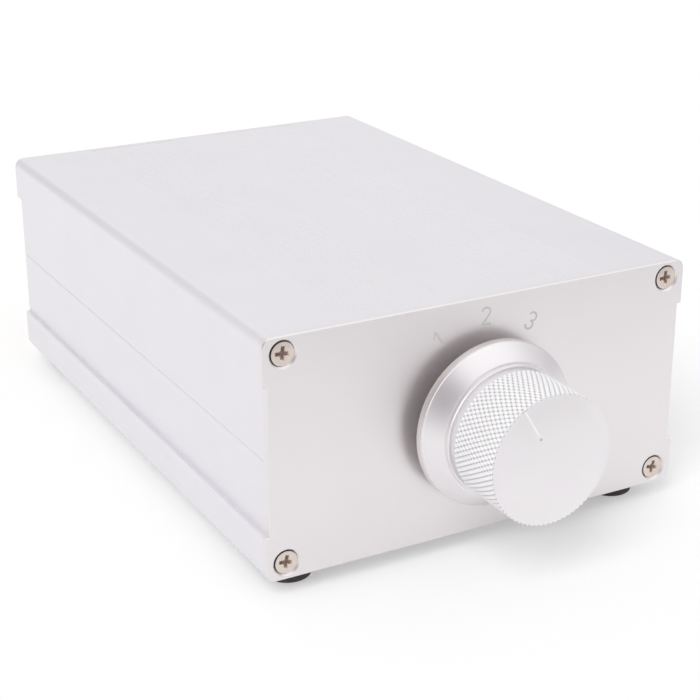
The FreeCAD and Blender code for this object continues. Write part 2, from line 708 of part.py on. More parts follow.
def switch_housing():
    cup = cylinder(SWITCH_R, SWITCH_Y, BOARD_Y)
    bush = cylinder(SWITCH_BUSH_R, BUSH_END_Y, SWITCH_Y)
    fixed_stop = sector(STOP_R - STOP_W / 2, STOP_R + STOP_W / 2, CAVITY_Y, CAVITY_Y + STOP_H,
                        lug_turn() - 2 * STOP_HALF_DEG - STOP_GAP_DEG, STOP_HALF_DEG)
    shell = joined([cup, bush]).cut([cylinder(CAVITY_R, CAVITY_Y, BOARD_Y),
                                     cylinder(SHAFT_R + RUNNING_FIT, BUSH_END_Y, CAVITY_Y),
                                     tab_slot()])
    return joined([shell, detent_ring(), fixed_stop])


def terminal_turns():
    return [k * STEP_DEG for k in range(POLES * POSITIONS)]


def common_turns():
    return [k * 360 / POLES for k in range(POLES)]


def switch_base():
    disc = cylinder(CAVITY_R - SEAT_FIT, BASE_Y, BOARD_Y)
    places = [at_angle(WIPER_OUT_R, turn) for turn in terminal_turns()]
    places += [at_angle(WIPER_IN_R, turn) for turn in common_turns()]
    return disc.cut([cylinder(PIN_R + SEAT_FIT, BASE_Y, BOARD_Y, x, z) for x, z in places])


def switch_terminals():
    end_y = BOARD_BACK_Y + PIN_PROUD
    terminals = []
    for turn in terminal_turns():
        x, z = at_angle(WIPER_OUT_R, turn)
        pin = cylinder(PIN_R, BASE_Y, end_y, x, z)
        terminals.append(joined([cylinder(OUTER_PAD_R, BASE_Y - PAD_PROUD, BASE_Y, x, z), pin]))
    for turn in common_turns():
        x, z = at_angle(WIPER_IN_R, turn)
        pad = sector(WIPER_IN_R - COMMON_W / 2, WIPER_IN_R + COMMON_W / 2, BASE_Y - PAD_PROUD, BASE_Y,
                     turn, COMMON_SPAN / 2)
        terminals.append(joined([pad, cylinder(PIN_R, BASE_Y, end_y, x, z)]))
    return terminals


def switch_spindle():
    groove_start = BUSH_END_Y - CLIP_GAP - CLIP_T
    rod = cylinder(SHAFT_R, SPINDLE_Y, ROTOR_BACK_Y)
    groove = tube(SHAFT_R, CLIP_GROOVE_R, groove_start, groove_start + CLIP_T)
    flat = shaft_flat(SPINDLE_Y, SPINDLE_Y + SPINDLE_FLAT_LEN, REST_DEG)
    return rod.cut([groove, flat])


def switch_retaining_clip():
    start = BUSH_END_Y - CLIP_GAP - CLIP_T
    ring = tube(CLIP_R, CLIP_GROOVE_R, start, start + CLIP_T)
    mouth = box(-CLIP_MOUTH / 2, CLIP_MOUTH / 2, start, start + CLIP_T, AXIS_Z - CLIP_R, AXIS_Z)
    return clockwise(ring.cut(mouth), REST_DEG)


def pocket_y():
    return (DETENT_Y + ROTOR_BACK_Y) / 2


def switch_rotor():
    disc = cylinder(ROTOR_R, DETENT_Y, ROTOR_BACK_Y)
    lug = sector(STOP_R - STOP_W / 2, STOP_R + STOP_W / 2, DETENT_Y - STOP_H, DETENT_Y,
                 lug_turn(), STOP_HALF_DEG)
    pockets = [radial_hole(pocket_y(), BALL_R + BALL_CLEAR, POCKET_IN_R, ROTOR_R + 1, REST_DEG + turn)
               for turn in BALL_TURNS]
    bore = cylinder(SHAFT_R, DETENT_Y - STOP_H, ROTOR_BACK_Y)
    return joined([disc, lug]).cut([bore] + pockets)


def ball_centre_r():
    return DETENT_PEAK_R - BALL_CLEAR - BALL_R


def detent_balls():
    balls = []
    for turn in BALL_TURNS:
        ball = Part.makeSphere(BALL_R, V(0, pocket_y(), AXIS_Z + ball_centre_r()))
        balls.append(clockwise(ball, REST_DEG + turn))
    return balls


def detent_springs():
    """Coil springs between the pockets' ends and the balls."""
    length = ball_centre_r() - BALL_R - POCKET_IN_R
    rise = length - 2 * SPRING_WIRE_R
    helix = Part.makeHelix(rise / SPRING_TURNS, rise, SPRING_R)
    section = Part.Wire(Part.Circle(V(SPRING_R, 0, 0), V(0, 1, 0), SPRING_WIRE_R).toShape())
    coil = Part.Wire(helix).makePipeShell([section], True, True)
    springs = []
    for turn in BALL_TURNS:
        spring = coil.copy()
        spring.translate(V(0, pocket_y(), AXIS_Z + POCKET_IN_R + SPRING_WIRE_R))
        springs.append(clockwise(spring, REST_DEG + turn))
    return springs


def switch_wipers():
    """Bent contact strips on the rotor's back, each bridging a common pad and a way's pad."""
    seat = ROTOR_BACK_Y
    tip = BASE_Y - PAD_PROUD - CONTACT_GAP
    outline = [(WIPER_IN_R - WIPER_T / 2, tip), (WIPER_SEAT_IN_R - WIPER_T, seat),
               (WIPER_SEAT_OUT_R + WIPER_T, seat),
               (WIPER_OUT_R + WIPER_T / 2, tip), (WIPER_OUT_R - WIPER_T / 2, tip),
               (WIPER_SEAT_OUT_R, seat + WIPER_T), (WIPER_SEAT_IN_R, seat + WIPER_T),
               (WIPER_IN_R + WIPER_T / 2, tip)]
    points = [V(-WIPER_W / 2, y, AXIS_Z + radius) for radius, y in outline]
    strip = Part.Face(Part.makePolygon(points + points[:1])).extrude(V(WIPER_W, 0, 0))
    return [clockwise(strip, REST_DEG + turn) for turn in common_turns()]


def switch_stop_washer():
    start = SWITCH_Y - STOP_WASHER_T
    ring = tube(STOP_WASHER_R, SWITCH_BUSH_R + THREAD_FIT, start, SWITCH_Y)
    return joined([ring, stop_tab(start, CAVITY_Y + STOP_H)])


def switch_nut():
    end = SWITCH_Y - STOP_WASHER_T
    start = end - SWITCH_NUT_T
    return hexagon(SWITCH_NUT_HEX, start, end).cut(cylinder(SWITCH_BUSH_R + THREAD_FIT, start, end))


# Circuit board and sockets

def lug_tail_up(row):
    """The Z of a ground tail, on the far side of its socket from the board's middle."""
    return AXIS_Z + row * (JACK_PITCH_Z / 2 + LUG_R)


def circuit_board():
    board = box(-BOARD_W / 2, BOARD_W / 2, BOARD_Y, BOARD_BACK_Y,
                AXIS_Z - BOARD_H / 2, AXIS_Z + BOARD_H / 2)
    holes = [cylinder(M3_R + BOARD_HOLE_FIT, BOARD_Y, BOARD_BACK_Y, x, z) for x, z in standoff_places()]
    pins = [at_angle(WIPER_OUT_R, turn) for turn in terminal_turns()]
    pins += [at_angle(WIPER_IN_R, turn) for turn in common_turns()]
    holes += [cylinder(PIN_R + BOARD_HOLE_FIT, BOARD_Y, BOARD_BACK_Y, x, z) for x, z in pins]
    for row in (1, -1):
        for x, z in jack_places(row):
            holes.append(cylinder(CONTACT_TAIL_R + BOARD_HOLE_FIT, BOARD_Y, BOARD_BACK_Y, x, z))
            holes.append(lug_tail(x, row, BOARD_Y, BOARD_BACK_Y, BOARD_HOLE_FIT))
    return board.cut(holes)


def lug_tail(x, row, y_start, y_end, grow=0.0):
    half = LUG_TAIL_W / 2 + grow
    z = lug_tail_up(row)
    low, high = sorted((z, z - row * LUG_T))
    return box(x - half, x + half, y_start, y_end, low - grow, high + grow)


def jack_shell(x, z):
    flange_y = REAR_Y + COLLAR_T
    sleeve_y = flange_y + JACK_FLANGE_T
    mouth_y = sleeve_y + JACK_SLEEVE_LEN
    profile = [(0, sleeve_y), (JACK_SLEEVE_R, sleeve_y), (JACK_SLEEVE_R, mouth_y - JACK_MOUTH_EDGE),
               (JACK_SLEEVE_R - JACK_MOUTH_EDGE, mouth_y), (0, mouth_y)]
    body = joined([cylinder(JACK_THREAD_R, BODY_END_Y - JACK_TAIL, flange_y, x, z),
                   hexagon(JACK_FLANGE_HEX, flange_y, sleeve_y, x, z), turned(profile, x, z)])
    return body.cut(cylinder(JACK_BORE_R, BODY_END_Y - JACK_TAIL, mouth_y, x, z))


def jack_collar(x, z):
    """The coloured insulator outside the panel, with its shoulder in the panel's hole."""
    body = joined([cylinder(COLLAR_R, REAR_Y, REAR_Y + COLLAR_T, x, z),
                   cylinder(SHOULDER_R, BODY_END_Y, REAR_Y, x, z)])
    return body.cut(cylinder(JACK_THREAD_R + JACK_SEAT, BODY_END_Y, REAR_Y + COLLAR_T, x, z))


def jack_inner_washer(x, z):
    return tube(COLLAR_R, JACK_THREAD_R + JACK_SEAT, BODY_END_Y - INNER_WASHER_T, BODY_END_Y, x, z)


def jack_ground_lug(x, z, row):
    end = BODY_END_Y - INNER_WASHER_T
    start = end - LUG_T
    ring = cylinder(LUG_R, start, end, x, z)
    tail = lug_tail(x, row, BOARD_Y - LUG_TAIL_PROUD, end)
    bridge_low, bridge_high = sorted((z, lug_tail_up(row)))
    bridge = box(x - LUG_TAIL_W / 2, x + LUG_TAIL_W / 2, start, end, bridge_low, bridge_high)
    return joined([ring, bridge, tail]).cut(cylinder(JACK_THREAD_R + JACK_SEAT, start, end, x, z))


def jack_nut(x, z):
    end = BODY_END_Y - INNER_WASHER_T - LUG_T
    start = end - JACK_NUT_T
    bore = cylinder(JACK_THREAD_R + JACK_SEAT, start, end, x, z)
    return hexagon(JACK_NUT_HEX, start, end, x, z).cut(bore)


def jack_mouth_y():
    return REAR_Y + JACK_REACH


def jack_core(x, z):
    """The insulator inside the shell, round the centre contact."""
    start, end = BODY_END_Y - JACK_TAIL, jack_mouth_y() - CORE_RECESS
    return tube(JACK_BORE_R, CONTACT_R, start, end, x, z)


def jack_contact(x, z):
    """The centre contact, with a bore for a plug's pin and a tail into the board."""
    start, end = BODY_END_Y - JACK_TAIL, jack_mouth_y() - CORE_RECESS
    body = joined([cylinder(CONTACT_R, start, end, x, z),
                   cylinder(CONTACT_TAIL_R, BOARD_Y - LUG_TAIL_PROUD, start, x, z)])
    return body.cut(cylinder(CONTACT_BORE_R, end - CONTACT_BORE_DEPTH, end, x, z))


def write_case():
    bottom = lower_half()
    top = clockwise(bottom, 180.0, 0.0, SEAM_Z)
    write("bottom_cover", bottom)
    write("top_cover", top)
    write("front_panel", front_panel())
    write("rear_panel", rear_panel())
    write("front_panel_screws", corner_screws(FRONT_Y, 1))
    write("rear_panel_screws", corner_screws(REAR_Y, -1))
    for name, (x, y) in foot_places().items():
        write("foot_" + name, foot(x, y))
    write("foot_pads", [foot_pad(x, y) for x, y in foot_places().values()])


def write_control():
    seat_r = SHAFT_R - SHAFT_FLAT
    write("knob", knob())
    write("knob_set_screw", set_screw(KNOB_FACE_Y + KNOB_SET_SCREW_IN, seat_r, KNOB_SET_SCREW_LEN,
                                      REST_DEG + KNOB_SET_SCREW_TURN))
    write("shaft_bushing", shaft_bushing())
    write("bushing_washer", bushing_washer())
    write("bushing_nut", bushing_nut())
    write("extension_shaft", extension_shaft())
    write("shaft_coupler", shaft_coupler())
    write("coupler_set_screws", coupler_set_screws())


def write_switch():
    write("switch_housing", switch_housing())
    write("switch_base", switch_base())
    write("switch_terminals", switch_terminals())
    write("switch_spindle", switch_spindle())
    write("switch_retaining_clip", switch_retaining_clip())
    write("switch_rotor", switch_rotor())
    write("switch_wipers", switch_wipers())
    write("switch_detent_balls", detent_balls())
    write("switch_detent_springs", detent_springs())
    write("switch_stop_washer", switch_stop_washer())
    write("switch_nut", switch_nut())


def write_board():
    write("circuit_board", circuit_board())
    write("board_standoffs", [standoff(x, z) for x, z in standoff_places()])
    write("board_screws", [board_screw(x, z) for x, z in standoff_places()])
    write("standoff_screws", [countersunk_screw(REAR_Y, -1, x, z, STANDOFF_SCREW_LEN)
                              for x, z in standoff_places()])


def write_sockets():
    signals = ["input_1", "input_2", "input_3", "output"]
    channels = {"left": 1, "right": -1}
    every_place = [(x, z, row) for row in channels.values() for x, z in jack_places(row)]
    for channel, row in channels.items():
        for signal, (x, z) in zip(signals, jack_places(row)):
            write("socket_shell_" + signal + "_" + channel, jack_shell(x, z))
        write("socket_collars_" + channel, [jack_collar(x, z) for x, z in jack_places(row)])
        write("socket_cores_" + channel, [jack_core(x, z) for x, z in jack_places(row)])
    write("socket_contacts", [jack_contact(x, z) for x, z, row in every_place])
    write("socket_inner_washers", [jack_inner_washer(x, z) for x, z, row in every_place])
    write("socket_ground_lugs", [jack_ground_lug(x, z, row) for x, z, row in every_place])
    write("socket_nuts", [jack_nut(x, z) for x, z, row in every_place])


os.makedirs("parts", exist_ok=True)
write_case()
write_control()
write_switch()
write_board()
write_sockets()
print(len(SOLIDS), "nodes,", sum(SOLIDS.values()), "solids")
print("front panel face at y =", round(FRONT_Y, 3), "rear panel face at y =", round(REAR_Y, 3))
print("knob axis at z =", round(AXIS_Z, 3))
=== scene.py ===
# %% [markdown]
# An audio source selector: a small box of two aluminium extrusions between two flat panels, with one
# big knurled knob in front and eight sockets behind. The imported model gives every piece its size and
# place. Here each piece gets its finish, and the turned, knurled and pressed ones get a finer shape.

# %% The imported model
import bmesh
import bpy
import math
from mathutils import Euler, Matrix, Vector


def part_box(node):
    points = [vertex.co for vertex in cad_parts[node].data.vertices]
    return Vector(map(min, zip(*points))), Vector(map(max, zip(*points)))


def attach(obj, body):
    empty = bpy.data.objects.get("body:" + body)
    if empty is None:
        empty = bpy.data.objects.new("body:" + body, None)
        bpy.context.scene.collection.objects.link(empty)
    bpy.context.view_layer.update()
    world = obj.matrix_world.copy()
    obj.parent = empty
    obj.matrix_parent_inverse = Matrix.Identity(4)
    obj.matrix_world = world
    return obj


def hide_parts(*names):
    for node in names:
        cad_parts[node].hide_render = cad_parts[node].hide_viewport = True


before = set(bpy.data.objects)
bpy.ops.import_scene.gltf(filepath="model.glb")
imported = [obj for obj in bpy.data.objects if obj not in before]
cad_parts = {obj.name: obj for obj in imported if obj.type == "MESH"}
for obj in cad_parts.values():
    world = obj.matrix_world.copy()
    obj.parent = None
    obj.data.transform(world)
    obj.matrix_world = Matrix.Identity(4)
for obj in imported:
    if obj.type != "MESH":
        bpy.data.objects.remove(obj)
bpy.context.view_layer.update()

# %% [markdown]
# The shapes below are drawn in millimetres, as a machinist would, and made metres when each piece is
# finished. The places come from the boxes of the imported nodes, so nothing has to be fitted by eye.

# %% Places, in millimetres
MM = 0.001
CASE, SELECTOR = "case", "selector"


def span(node):
    """The lowest and highest corners of a node, in millimetres."""
    low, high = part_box(node)
    return low / MM, high / MM


knob_low, knob_high = span("knob")
rear_low, rear_high = span("rear_panel")
AXIS_Z = (knob_low.z + knob_high.z) / 2
FRONT_Y, REAR_Y = span("front_panel")[0].y, rear_high.y
print("knob axis at", round(AXIS_Z, 2), "panels at", round(FRONT_Y, 2), "and", round(REAR_Y, 2))

# %% [markdown]
# The camera stands to the left of the box and above it, with a long lens. Its place is given from the
# point of the table below the middle of the front panel, a little under 40 cm away, and its angles
# were found from the corners of the case in the photograph.

# %% Camera
CAMERA_FROM_PANEL = (-0.18257, -0.27634, 0.17828)
CAMERA_AZIMUTH = math.radians(-28.428)
CAMERA_ELEVATION = math.radians(21.636)
CAMERA_ROLL = math.radians(-0.1216)
CAMERA_LENS = 85.12
SENSOR = 36.0

camera = bpy.data.objects.new("camera", bpy.data.cameras.new("camera"))
camera.data.lens = CAMERA_LENS
camera.data.sensor_width = SENSOR
camera.data.clip_start = 0.01
turn = Euler((math.pi / 2 - CAMERA_ELEVATION, 0, CAMERA_AZIMUTH)).to_matrix()
camera.matrix_world = (turn @ Matrix.Rotation(CAMERA_ROLL, 3, "Z")).to_4x4()
camera.location = Vector(CAMERA_FROM_PANEL) + Vector((0, FRONT_Y * MM, 0))
bpy.context.scene.collection.objects.link(camera)
bpy.context.scene.camera = camera
bpy.context.scene.view_settings.view_transform = "Standard"
print("camera at", [round(value, 4) for value in camera.location])

# %% [markdown]
# A finish is a small program of shader nodes. Writing it as arithmetic keeps it readable: a Wire holds
# one output of a node, and adding or multiplying two of them adds the Math node that does it.

# %% Shader arithmetic
class Wire:
    """One output socket of a shader node, with arithmetic."""

    def __init__(self, tree, socket):
        self.tree, self.socket = tree, socket

    def math(self, operation, first, second=0.0):
        """A Math node; a node with one input leaves the second unused."""
        return self.tree.add("ShaderNodeMath", {"operation": operation}, {0: first, 1: second})[0]

    def __add__(self, other):
        return self.math("ADD", self, other)

    def __sub__(self, other):
        return self.math("SUBTRACT", self, other)

    def __rsub__(self, other):
        return self.math("SUBTRACT", other, self)

    def __mul__(self, other):
        return self.math("MULTIPLY", self, other)

    def __mod__(self, other):
        return self.math("FLOORED_MODULO", self, other)

    def __gt__(self, other):
        return self.math("GREATER_THAN", self, other)

    def __lt__(self, other):
        return self.math("LESS_THAN", self, other)

    def root(self):
        return self.math("SQRT", self)

    def size(self):
        return self.math("ABSOLUTE", self)

    def sine(self):
        return self.math("SINE", self)

    __radd__, __rmul__ = __add__, __mul__


class Outputs:
    """A node that was added, read by the name or number of an output."""

    def __init__(self, tree, node):
        self.tree, self.node = tree, node

    def __getitem__(self, key):
        return Wire(self.tree, self.node.outputs[key])


class Tree:
    """The node tree of a material or of the world."""

    def __init__(self, owner):
        owner.use_nodes = True
        self.nodes, self.links = owner.node_tree.nodes, owner.node_tree.links
        self.nodes.clear()

    def add(self, kind, settings=None, inputs=None):
        """A node of this kind: its settings first, then what its sockets get."""
        node = self.nodes.new(kind)
        for key, value in (settings or {}).items():
            setattr(node, key, value)
        for key, value in (inputs or {}).items():
            if isinstance(value, Wire):
                self.links.new(value.socket, node.inputs[key])
            else:
                node.inputs[key].default_value = value
        return Outputs(self, node)

    def mix(self, share, first, second):
        """A colour between two others; share is 0 at the first."""
        return self.add("ShaderNodeMix", {"data_type": "RGBA"}, {0: share, 6: first, 7: second})[2]

    def between(self, value, start, end, low=0.0, high=1.0):
        """Low before start, high after end, and smooth between them."""
        return self.add("ShaderNodeMapRange", {"interpolation_type": "SMOOTHSTEP"},
                        {0: value, 1: start, 2: end, 3: low, 4: high})[0]

    def along(self, vector, direction):
        """How far a vector reaches in a direction."""
        return self.add("ShaderNodeVectorMath", {"operation": "DOT_PRODUCT"},
                        {0: vector, 1: direction})["Value"]


# %% [markdown]
# The box stands in a white studio. The floor is plain and pale and keeps the shadow. Seen by the lens
# or in a reflection it is white paper, lit a little from within so that its shadow stays pale. Right
# before the box a reflection gets less of that light, because the box itself keeps it off the paper.

# %% Floor
WHITE = (1.0, 1.0, 1.0, 1.0)
FLOOR_SIZE = 3.0
FLOOR_GREY = (0.92, 0.92, 0.92, 1.0)
CAMERA_LIFT = 0.35           # share of the paper's white that no shadow reaches
MIRROR_LIFT = 0.3            # the same, where a reflection sees the paper
MIRROR_LEVEL = 0.87          # how bright reflections see the paper and the room, to the lens's 1
MIRROR_GREY = (MIRROR_LEVEL, MIRROR_LEVEL, MIRROR_LEVEL, 1.0)
CLOSE_BY = (-0.125, -0.085)  # the paper's own light fades between these, towards the foot of the box
CLOSE_FADE = 0.9
MIRROR_GLOW = (0.98, 0.98, 0.98, 1.0)
PAPER_END = (-0.2, -0.25)    # in reflections the paper darkens towards the front between these
PAPER_END_GREY = (0.06, 0.05, 0.06, 1.0)


def seen_directly(tree):
    """1 where the camera, or a reflection, looks; 0 for light on its way to a surface."""
    path = tree.add("ShaderNodeLightPath")
    seen = path["Is Camera Ray"] + path["Is Glossy Ray"] + path["Is Transmission Ray"]
    return seen > 0.5


shape = bmesh.new()
bmesh.ops.create_grid(shape, x_segments=1, y_segments=1, size=FLOOR_SIZE / 2)
floor_mesh = bpy.data.meshes.new("floor")
shape.to_mesh(floor_mesh)
shape.free()
floor = bpy.data.objects.new("floor", floor_mesh)
bpy.context.scene.collection.objects.link(floor)

paper = bpy.data.materials.new("floor_paper")
tree = Tree(paper)
path = tree.add("ShaderNodeLightPath")
mirrored = path["Is Glossy Ray"]
white = tree.mix(mirrored, WHITE, MIRROR_GREY)
grey = tree.mix(seen_directly(tree), FLOOR_GREY, white)
sheet = tree.add("ShaderNodeBsdfDiffuse", None, {"Color": grey})
back = tree.along(tree.add("ShaderNodeTexCoord")["Object"], (0, 1, 0))
front = tree.between(back, PAPER_END[1], PAPER_END[0], 1.0, 0.0)
shine = tree.mix(mirrored, WHITE, tree.mix(front, MIRROR_GLOW, PAPER_END_GREY))
glow = tree.add("ShaderNodeEmission", None, {"Color": shine, "Strength": 1.0})
close = tree.between(back, CLOSE_BY[0], CLOSE_BY[1], 0.0, CLOSE_FADE)
lift = path["Is Camera Ray"] * CAMERA_LIFT + mirrored * (1.0 - close) * MIRROR_LIFT
both = tree.add("ShaderNodeMixShader", None, {0: lift, 1: sheet[0], 2: glow[0]})
tree.add("ShaderNodeOutputMaterial", None, {"Surface": both[0]})
floor_mesh.materials.append(paper)
print("floor", FLOOR_SIZE, "m wide")

# %% [markdown]
# Satin metal is a picture of the room round it, so the room has to be right. It is white, brighter
# high over the front and low on the left, and darker at eye height: on the camera's side, where the
# photographer stands, in front, on the right, and far behind on the left. Those dark places draw the
# shades of the knob's bevel and the line along the cover's round edge. Only reflections see them. The
# lens sees plain white, and dull surfaces get an even light and that of a wide lamp on the left.

# %% Room and lamp
ROOM_LEVEL = 0.66            # light from the room on a dull level surface
LAMP_LEVEL = 0.36            # light from the lamp on the same surface
LAMP_ANGLE = math.radians(34)
ROOM_DARK = (0.04, 0.0, 0.03, 1.0)
HORIZON_SHARE = 0.14         # how dark the room is at the horizon
HORIZON_REACH = 0.32         # the height at which that is gone


def heading(azimuth, elevation):
    """A direction; azimuth 0 is straight out from the front panel, and positive to the right."""
    a, e = math.radians(azimuth), math.radians(elevation)
    return Vector((math.sin(a) * math.cos(e), -math.cos(a) * math.cos(e), math.sin(e)))


LAMP_TO = heading(-50, 45)
# A place has a direction, the degrees round it where it is full and where it is gone, and a share.
DARK_PLACES = ((heading(-51, 27), 8, 31, 0.64), (heading(98, 4), 18, 52, 0.2),
               (heading(20, 14), 14, 34, 0.32), (heading(-160, 22), 4, 26, 0.25))
BRIGHT_PLACES = ((heading(25, 58), 14, 46, 0.21), (heading(-110, 26), 10, 36, 0.45))

world = bpy.data.worlds.new("studio")
bpy.context.scene.world = world
tree = Tree(world)
toward = tree.add("ShaderNodeTexCoord")["Generated"]
height = tree.add("ShaderNodeSeparateXYZ", None, {0: toward})["Z"]


def with_places(value, places):
    """The value with each place's share added, where a reflection looks towards it."""
    for direction, full_deg, gone_deg, share in places:
        full, gone = math.cos(math.radians(full_deg)), math.cos(math.radians(gone_deg))
        value = tree.between(tree.along(toward, direction), gone, full) * share + value
    return value


horizon = tree.between(height.size(), 0.0, HORIZON_REACH, 1.0, 0.0)
shade = with_places(horizon * HORIZON_SHARE, DARK_PLACES)
lit = with_places(1.0, BRIGHT_PLACES)
sight = tree.add("ShaderNodeVectorMath", {"operation": "SCALE"},
                 {0: tree.mix(shade, WHITE, ROOM_DARK), "Scale": MIRROR_LEVEL * lit})["Vector"]
reflected = tree.add("ShaderNodeBackground", None, {"Color": sight, "Strength": 1.0})
plain = tree.add("ShaderNodeBackground", None, {"Color": WHITE, "Strength": 1.0})
room = tree.add("ShaderNodeBackground", None, {"Color": WHITE, "Strength": ROOM_LEVEL})
path = tree.add("ShaderNodeLightPath")
seen = tree.add("ShaderNodeMixShader", None, {0: path["Is Glossy Ray"], 1: plain[0], 2: reflected[0]})
both = tree.add("ShaderNodeMixShader", None, {0: seen_directly(tree), 1: room[0], 2: seen[0]})
tree.add("ShaderNodeOutputWorld", None, {"Surface": both[0]})

lamp = bpy.data.objects.new("lamp", bpy.data.lights.new("lamp", "SUN"))
lamp.data.energy = math.pi * LAMP_LEVEL / LAMP_TO.z
lamp.data.angle = LAMP_ANGLE
lamp.rotation_euler = LAMP_TO.to_track_quat("Z", "Y").to_euler()
lamp.visible_glossy = False
bpy.context.scene.collection.objects.link(lamp)
print("lamp strength", round(lamp.data.energy, 2))

# %% [markdown]
# Most surfaces share a few habits. Noise at the size of the grain makes them uneven, a bump turns that
# into relief, and the Principled shader takes the result. Object coordinates are in metres, so each
# pattern is given by the size of its grain in millimetres and worked out from that.

# %% Helpers for finishes
class Finish(Tree):
    """A material that is built up and then closed with surface()."""

    def __init__(self, name):
        self.material = bpy.data.materials.new(name)
        super().__init__(self.material)
        self.place = self.add("ShaderNodeTexCoord")["Object"]

    def axes(self, vector=None):
        """A vector's three parts, or those of the place in the object."""
        parts = self.add("ShaderNodeSeparateXYZ", None, {0: vector or self.place})
        return parts["X"], parts["Y"], parts["Z"]

    def own_place(self):
        """The place on the piece itself, before it was moved into the object."""
        return self.add("ShaderNodeAttribute", {"attribute_name": "own_place"})["Vector"]

    def noise(self, grain_mm, detail=2.0, stretch=(1, 1, 1)):
        """Noise from 0 to 1 whose lumps are about this many millimetres across."""
        wide = self.add("ShaderNodeMapping", None, {0: self.place, "Scale": stretch})[0]
        return self.add("ShaderNodeTexNoise", None,
                        {"Vector": wide, "Scale": 1 / (grain_mm * MM), "Detail": detail})[0]

    def bump(self, height_mm):
        """The normal of a surface with this relief."""
        return self.add("ShaderNodeBump", None, {"Height": height_mm, "Distance": MM})["Normal"]

    def surface(self, colour, roughness, metallic, normal):
        """Closes the material, and returns it."""
        inputs = {"Base Color": colour, "Roughness": roughness, "Metallic": metallic, "Normal": normal}
        shader = self.add("ShaderNodeBsdfPrincipled", None, inputs)
        self.add("ShaderNodeOutputMaterial", None, {"Surface": shader[0]})
        return self.material


def rgb(red, green, blue):
    """A colour from the 0 to 255 of a screen, as light."""
    return tuple((c / 255) ** 2.2 for c in (red, green, blue)) + (1.0,)


# %% [markdown]
# The covers and panels are aluminium, bead blasted to a fine even grain and then clear anodised. The
# metal itself is nearly white and very slightly warm. Under a loupe the grain is a field of dents about
# a tenth of a millimetre wide, and the extruded covers also keep faint lines along their length.

# %% Blasted aluminium
COVER_WHITE = rgb(250, 248, 252)
COVER_DULL = rgb(244, 242, 246)
PANEL_WHITE = rgb(249, 245, 246)
PANEL_DULL = rgb(243, 239, 240)
GRAIN_MM = 0.16
CLOUD_MM = 14.0
LINE_MM = 0.5
LINE_STRETCH = (1.0, 0.02, 1.0)


def blasted(name, bright, dull, lines=0.0):
    """Anodised aluminium, with faint lines along Y where lines is more than 0."""
    finish = Finish(name)
    grain = finish.noise(GRAIN_MM)
    cloud = finish.noise(CLOUD_MM, 3.0)
    line = finish.noise(LINE_MM, 2.0, LINE_STRETCH)
    colour = finish.mix(cloud * 0.6 + line * 0.4 * lines, bright, dull)
    rough = 0.34 + grain * 0.08 + line * 0.05 * lines
    normal = finish.bump(grain * 0.006 + line * 0.004 * lines)
    return finish, colour, rough, normal


finish, colour, rough, normal = blasted("blasted_cover", COVER_WHITE, COVER_DULL, 1.0)
cover_metal = finish.surface(colour, rough, 1.0, normal)
print("cover grain", GRAIN_MM, "mm")

# %% [markdown]
# The numbers are engraved through the anodised skin and filled with thin grey paint. The engraving is
# real relief in the panel, so the paint can be found by its depth: it lies on whatever is deeper than
# the face, but only in the ring of numbers round the knob, or in the row of signs over the sockets.

# %% Panels with painted numbers
PAINT = rgb(206, 201, 201)
PAINT_FROM_MM = 0.05
NUMBER_RING_MM = (20.6, 26.4)
SIGN_ROW_MM = (48.6, 52.6)
SIGN_ROW_REACH_MM = 36.0


def panel_metal(name, face_y, inward, marks):
    """Blasted metal with paint where marks(x, z) is 1 and the surface is cut into."""
    finish, colour, rough, normal = blasted(name, PANEL_WHITE, PANEL_DULL)
    x, y, z = finish.axes()
    depth = (y - face_y * MM) * inward
    painted = (depth > PAINT_FROM_MM * MM) * marks(x, z)
    colour = finish.mix(painted, colour, PAINT)
    return finish.surface(colour, rough + painted * 0.2, 1.0 - painted, normal)


def number_ring(x, z):
    """1 between the two radii of the ring of numbers."""
    up = z - AXIS_Z * MM
    radius = (x * x + up * up).root()
    return (radius > NUMBER_RING_MM[0] * MM) * (radius < NUMBER_RING_MM[1] * MM)


def sign_row(x, z):
    """1 in the row of signs over the upper sockets."""
    row = (z > SIGN_ROW_MM[0] * MM) * (z < SIGN_ROW_MM[1] * MM)
    return row * (x.size() < SIGN_ROW_REACH_MM * MM)


front_metal = panel_metal("front_panel_metal", FRONT_Y, 1, number_ring)
rear_metal = panel_metal("rear_panel_metal", REAR_Y, -1, sign_row)
print("numbers", NUMBER_RING_MM, "mm from the axis, signs", SIGN_ROW_MM, "mm up")

# %% [markdown]
# A CAD node keeps its mesh and gets its finish on every slot it has. The two panels share a slot name
# but not a finish, so finishes are given by node.

# %% Dressing the CAD nodes
def dress(nodes, material):
    """Gives the nodes this material on every slot they have."""
    for name in nodes:
        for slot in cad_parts[name].material_slots:
            slot.material = material
    print(material.name, "on", len(nodes), "nodes")


dress(["top_cover", "bottom_cover", "knob"], cover_metal)
dress(["front_panel"], front_metal)
dress(["rear_panel"], rear_metal)

# %% [markdown]
# The feet are moulded rubber, nearly black, with the dull skin a mould leaves and a little dust near
# the table. Between each foot and the case lies a thin pad of closed-cell foam, which shows its cells.

# %% Rubber and foam
RUBBER, RUBBER_DULL, DUST = rgb(54, 52, 52), rgb(68, 65, 64), rgb(108, 105, 101)
FOAM, FOAM_CELL = rgb(74, 73, 75), rgb(40, 39, 41)
DUST_UP_TO = 1.6             # how high up the dust lies
CELL_MM = 0.3

